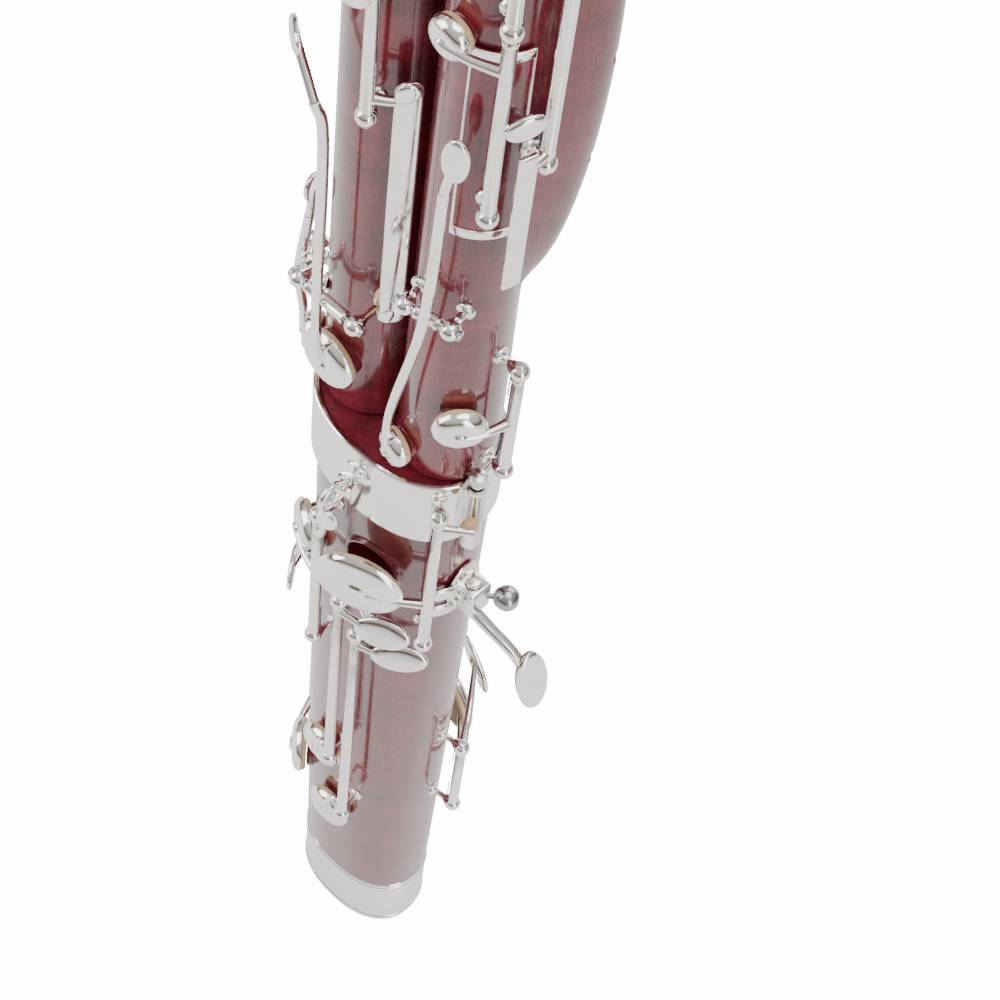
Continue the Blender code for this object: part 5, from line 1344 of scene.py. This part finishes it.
def makeCrookAndReed():
    axisX = tubes["wing"]["axisX"]
    start = Vector((axisX, 0, topOf("wing") - crookDepth))
    steps = ((0, 0, 0), (0, 0, 0.040), (0, 0, 0.062), (0.004, -0.012, 0.135), (0.010, -0.050, 0.157),
             (0.018, -0.110, 0.150), (0.026, -0.175, 0.123), (0.032, -0.230, 0.099))
    path = [start + Vector(step) for step in steps]
    tube = bentBar(path, 0.0052, 12, [0.0052, 0.0030], fine=8)
    nibZ = start.z + crookDepth + whisperPlace["nibRise"]
    nib = lathe([(0, 0.0), (0.0022, 0.0), (0.0020, 0.0056), (0.0018, 0.0060), (0.0017, 0.0082),
                 (0.0008, 0.0082), (0.0007, 0.0076), (0, 0.0076)], Matrix.Translation((axisX, 0, nibZ))
                @ facing((0, -1, 0)), 28)
    ringed = lathe([(0.0050, -0.0014), (0.0056, -0.0012), (0.0057, 0.0), (0.0056, 0.0012), (0.0050, 0.0014)],
                   Matrix.Translation((axisX, 0, start.z + 0.0340)), 40, ring=True)
    gather("crook", [tube, nib, ringed], bocalPlate, "bocal", ["bocal_tube"], 50)

    fine = smoothPath(path, 4)
    along = (fine[-1] - fine[-2]).normalized()
    throat = fine[-1] + along * 0.0003
    across = along.cross(up).normalized()
    over = across.cross(along).normalized()
    length = 0.056
    rows = [(0.0, None, None), (0.0, 0.0035, 0.0035), (0.012, 0.0037, 0.0036), (0.020, 0.0040, 0.0034),
            (0.027, 0.0045, 0.0030), (0.034, 0.0056, 0.0024), (0.042, 0.0066, 0.0017),
            (0.049, 0.0072, 0.0011), (0.0545, 0.0075, 0.0007), (length, 0.0073, 0.00035),
            (length, None, None)]

    def place(row, turn):
        reach, wide, thick = row
        if wide is None:
            return throat + along * reach
        side, rise = math.sin(math.radians(turn)), math.cos(math.radians(turn))
        lens = 1.0 - 0.35 * min(1.0, reach / length) * abs(side) ** 1.5  # blades thin towards their edges
        return throat + along * reach + across * side * wide + over * rise * thick * lens

    blades = woodGrid("blades", rows, 48, place)
    gather("reedBlades", [blades], reedCane, "bocal", ["reed_blades"], 55)
    wires = []
    for reach, wide, thick in ((0.0215, 0.0041, 0.0034), (0.0292, 0.0048, 0.0029)):
        wires.append(torus(1.0, 0.085, 48, 10, Matrix.Translation(throat + along * reach)
                           @ facing(along, across)
                           @ Matrix.Diagonal((wide + 0.0003, thick + 0.0003, 0.0042, 1))))
        wires.append(bentBar([throat + along * reach + over * (thick + 0.0002),
                              throat + along * (reach + 0.0022) + over * (thick + 0.0009)], 0.0003, 1,
                             smooth=False))
    gather("reedWires", wires, bareBrass, "bocal")
    turns = []
    for step in range(13):  # the binding, wound turn by turn
        reach = 0.0012 + step * 0.00125
        swell = 0.0038 + 0.0007 * math.exp(-((step - 8) / 2.6) ** 2)
        turns.append(torus(swell, 0.00072, 40, 8,
                           Matrix.Translation(throat + along * reach) @ facing(along, across)))
    gather("reedBinding", turns, bindingThread, "bocal", (), 60)


makeSaddle()
makeHandRest()
makePinAndRing()
makeLock()
makeCrookAndReed()
print("fittings made")


# Room.

cameraView = {"place": (0.3243, -0.3876, 1.2655), "right": (0.7170, 0.6923, 0.0818),
              "up": (-0.6341, 0.5990, 0.4889), "lens": 97.87, "sensor": 36.0}


def makeCamera():
    data = bpy.data.cameras.new("camera")
    data.lens = cameraView["lens"]
    data.sensor_width = cameraView["sensor"]
    data.clip_start, data.clip_end = 0.01, 50.0
    camera = bpy.data.objects.new("camera", data)
    bpy.context.scene.collection.objects.link(camera)
    right = Vector(cameraView["right"]).normalized()
    back = right.cross(Vector(cameraView["up"])).normalized()
    turned = Matrix((right, back.cross(right), back)).transposed()
    camera.matrix_world = Matrix.Translation(cameraView["place"]) @ turned.to_4x4()
    bpy.context.scene.camera = camera


softboxes = {  # place, aims at, width, height, watts
    "windowLeft": ((-1.5, -1.3, 1.5), (0, 0, 0.5), 1.6, 2.0, 44.0),
    "overhead": ((0.4, 0.3, 2.6), (0, 0, 0.5), 1.8, 1.8, 38.0),
    "rightFill": ((1.7, -0.6, 0.9), (0, 0, 0.5), 0.7, 1.8, 15.0),
    "behind": ((-0.4, 1.9, 1.2), (0, 0, 0.6), 1.6, 1.6, 24.0),
}


def makeLights():
    for name, (place, aim, width, height, watts) in softboxes.items():
        data = bpy.data.lights.new(name, "AREA")
        data.shape = "RECTANGLE"
        data.size, data.size_y, data.energy = width, height, watts
        light = bpy.data.objects.new(name, data)
        bpy.context.scene.collection.objects.link(light)
        light.location = place
        light.rotation_euler = (Vector(aim) - Vector(place)).to_track_quat("-Z", "Y").to_euler()


# How bright the room and the plain white are, and where the floor starts and ends its fade, in metres.
backdrop = {"white": 15.0, "room": 0.85, "near": 0.15, "far": 2.2, "share": 0.85}


def makeSky():
    # White to look at; in the metal it darkens towards the horizon, as a room does.
    sky = bpy.data.worlds.new("studio")
    bpy.context.scene.world = sky
    sky.use_nodes = True
    tree = sky.node_tree
    tree.nodes.clear()
    where = tree.nodes.new("ShaderNodeTexCoord")
    split = tree.nodes.new("ShaderNodeSeparateXYZ")
    height = tree.nodes.new("ShaderNodeMapRange")
    height.inputs["From Min"].default_value = -1.0
    ramp = tree.nodes.new("ShaderNodeValToRGB")
    stops(ramp, (0.0, (0.70, 0.68, 0.66)), (0.44, (0.36, 0.29, 0.23)), (0.53, (0.15, 0.10, 0.07)),
          (0.66, (0.60, 0.57, 0.54)), (1.0, (1.0, 1.0, 1.0)))
    room = addNode(tree, "ShaderNodeBackground", Strength=backdrop["room"])
    plain = addNode(tree, "ShaderNodeBackground", Strength=backdrop["white"])
    plain.inputs["Color"].default_value = (1, 1, 1, 1)
    path = tree.nodes.new("ShaderNodeLightPath")
    mix = tree.nodes.new("ShaderNodeMixShader")
    end = tree.nodes.new("ShaderNodeOutputWorld")
    tree.links.new(where.outputs["Generated"], split.inputs[0])
    tree.links.new(split.outputs["Z"], height.inputs["Value"])
    tree.links.new(height.outputs[0], ramp.inputs["Fac"])
    tree.links.new(ramp.outputs["Color"], room.inputs["Color"])
    tree.links.new(path.outputs["Is Camera Ray"], mix.inputs[0])
    tree.links.new(room.outputs[0], mix.inputs[1])
    tree.links.new(plain.outputs[0], mix.inputs[2])
    tree.links.new(mix.outputs[0], end.inputs["Surface"])


floorLook = {"size": 14.0, "drop": 0.0006, "colour": (0.90, 0.895, 0.89, 1), "roughness": 0.55}


def makeFloor():
    # Lit like a paper sweep, and fading to the sky's white with distance, so no horizon shows.
    deselect()
    bpy.ops.mesh.primitive_plane_add(size=floorLook["size"], location=(0, 0, -floorLook["drop"]))
    floor = bpy.context.object
    floor.name = "floor"
    material, tree, shader, place = newMaterial("paleFloor", {"Roughness": floorLook["roughness"]})
    shader.inputs["Base Color"].default_value = floorLook["colour"]
    shader.inputs["Emission Color"].default_value = (1, 1, 1, 1)
    away = addNode(tree, "ShaderNodeVectorMath", operation="LENGTH")
    fade = tree.nodes.new("ShaderNodeMapRange")
    fade.interpolation_type = "SMOOTHSTEP"
    for label, value in (("From Min", backdrop["near"]), ("From Max", backdrop["far"]),
                         ("To Min", backdrop["white"] * backdrop["share"]), ("To Max", backdrop["white"])):
        fade.inputs[label].default_value = value
    path = tree.nodes.new("ShaderNodeLightPath")
    seen = addNode(tree, "ShaderNodeMath", operation="MULTIPLY")
    tree.links.new(place, away.inputs[0])
    tree.links.new(away.outputs["Value"], fade.inputs["Value"])
    tree.links.new(fade.outputs["Result"], seen.inputs[0])
    tree.links.new(path.outputs["Is Camera Ray"], seen.inputs[1])
    tree.links.new(seen.outputs[0], shader.inputs["Emission Strength"])
    floor.data.materials.append(material)


makeCamera()
makeLights()
makeSky()
makeFloor()
print("room made")
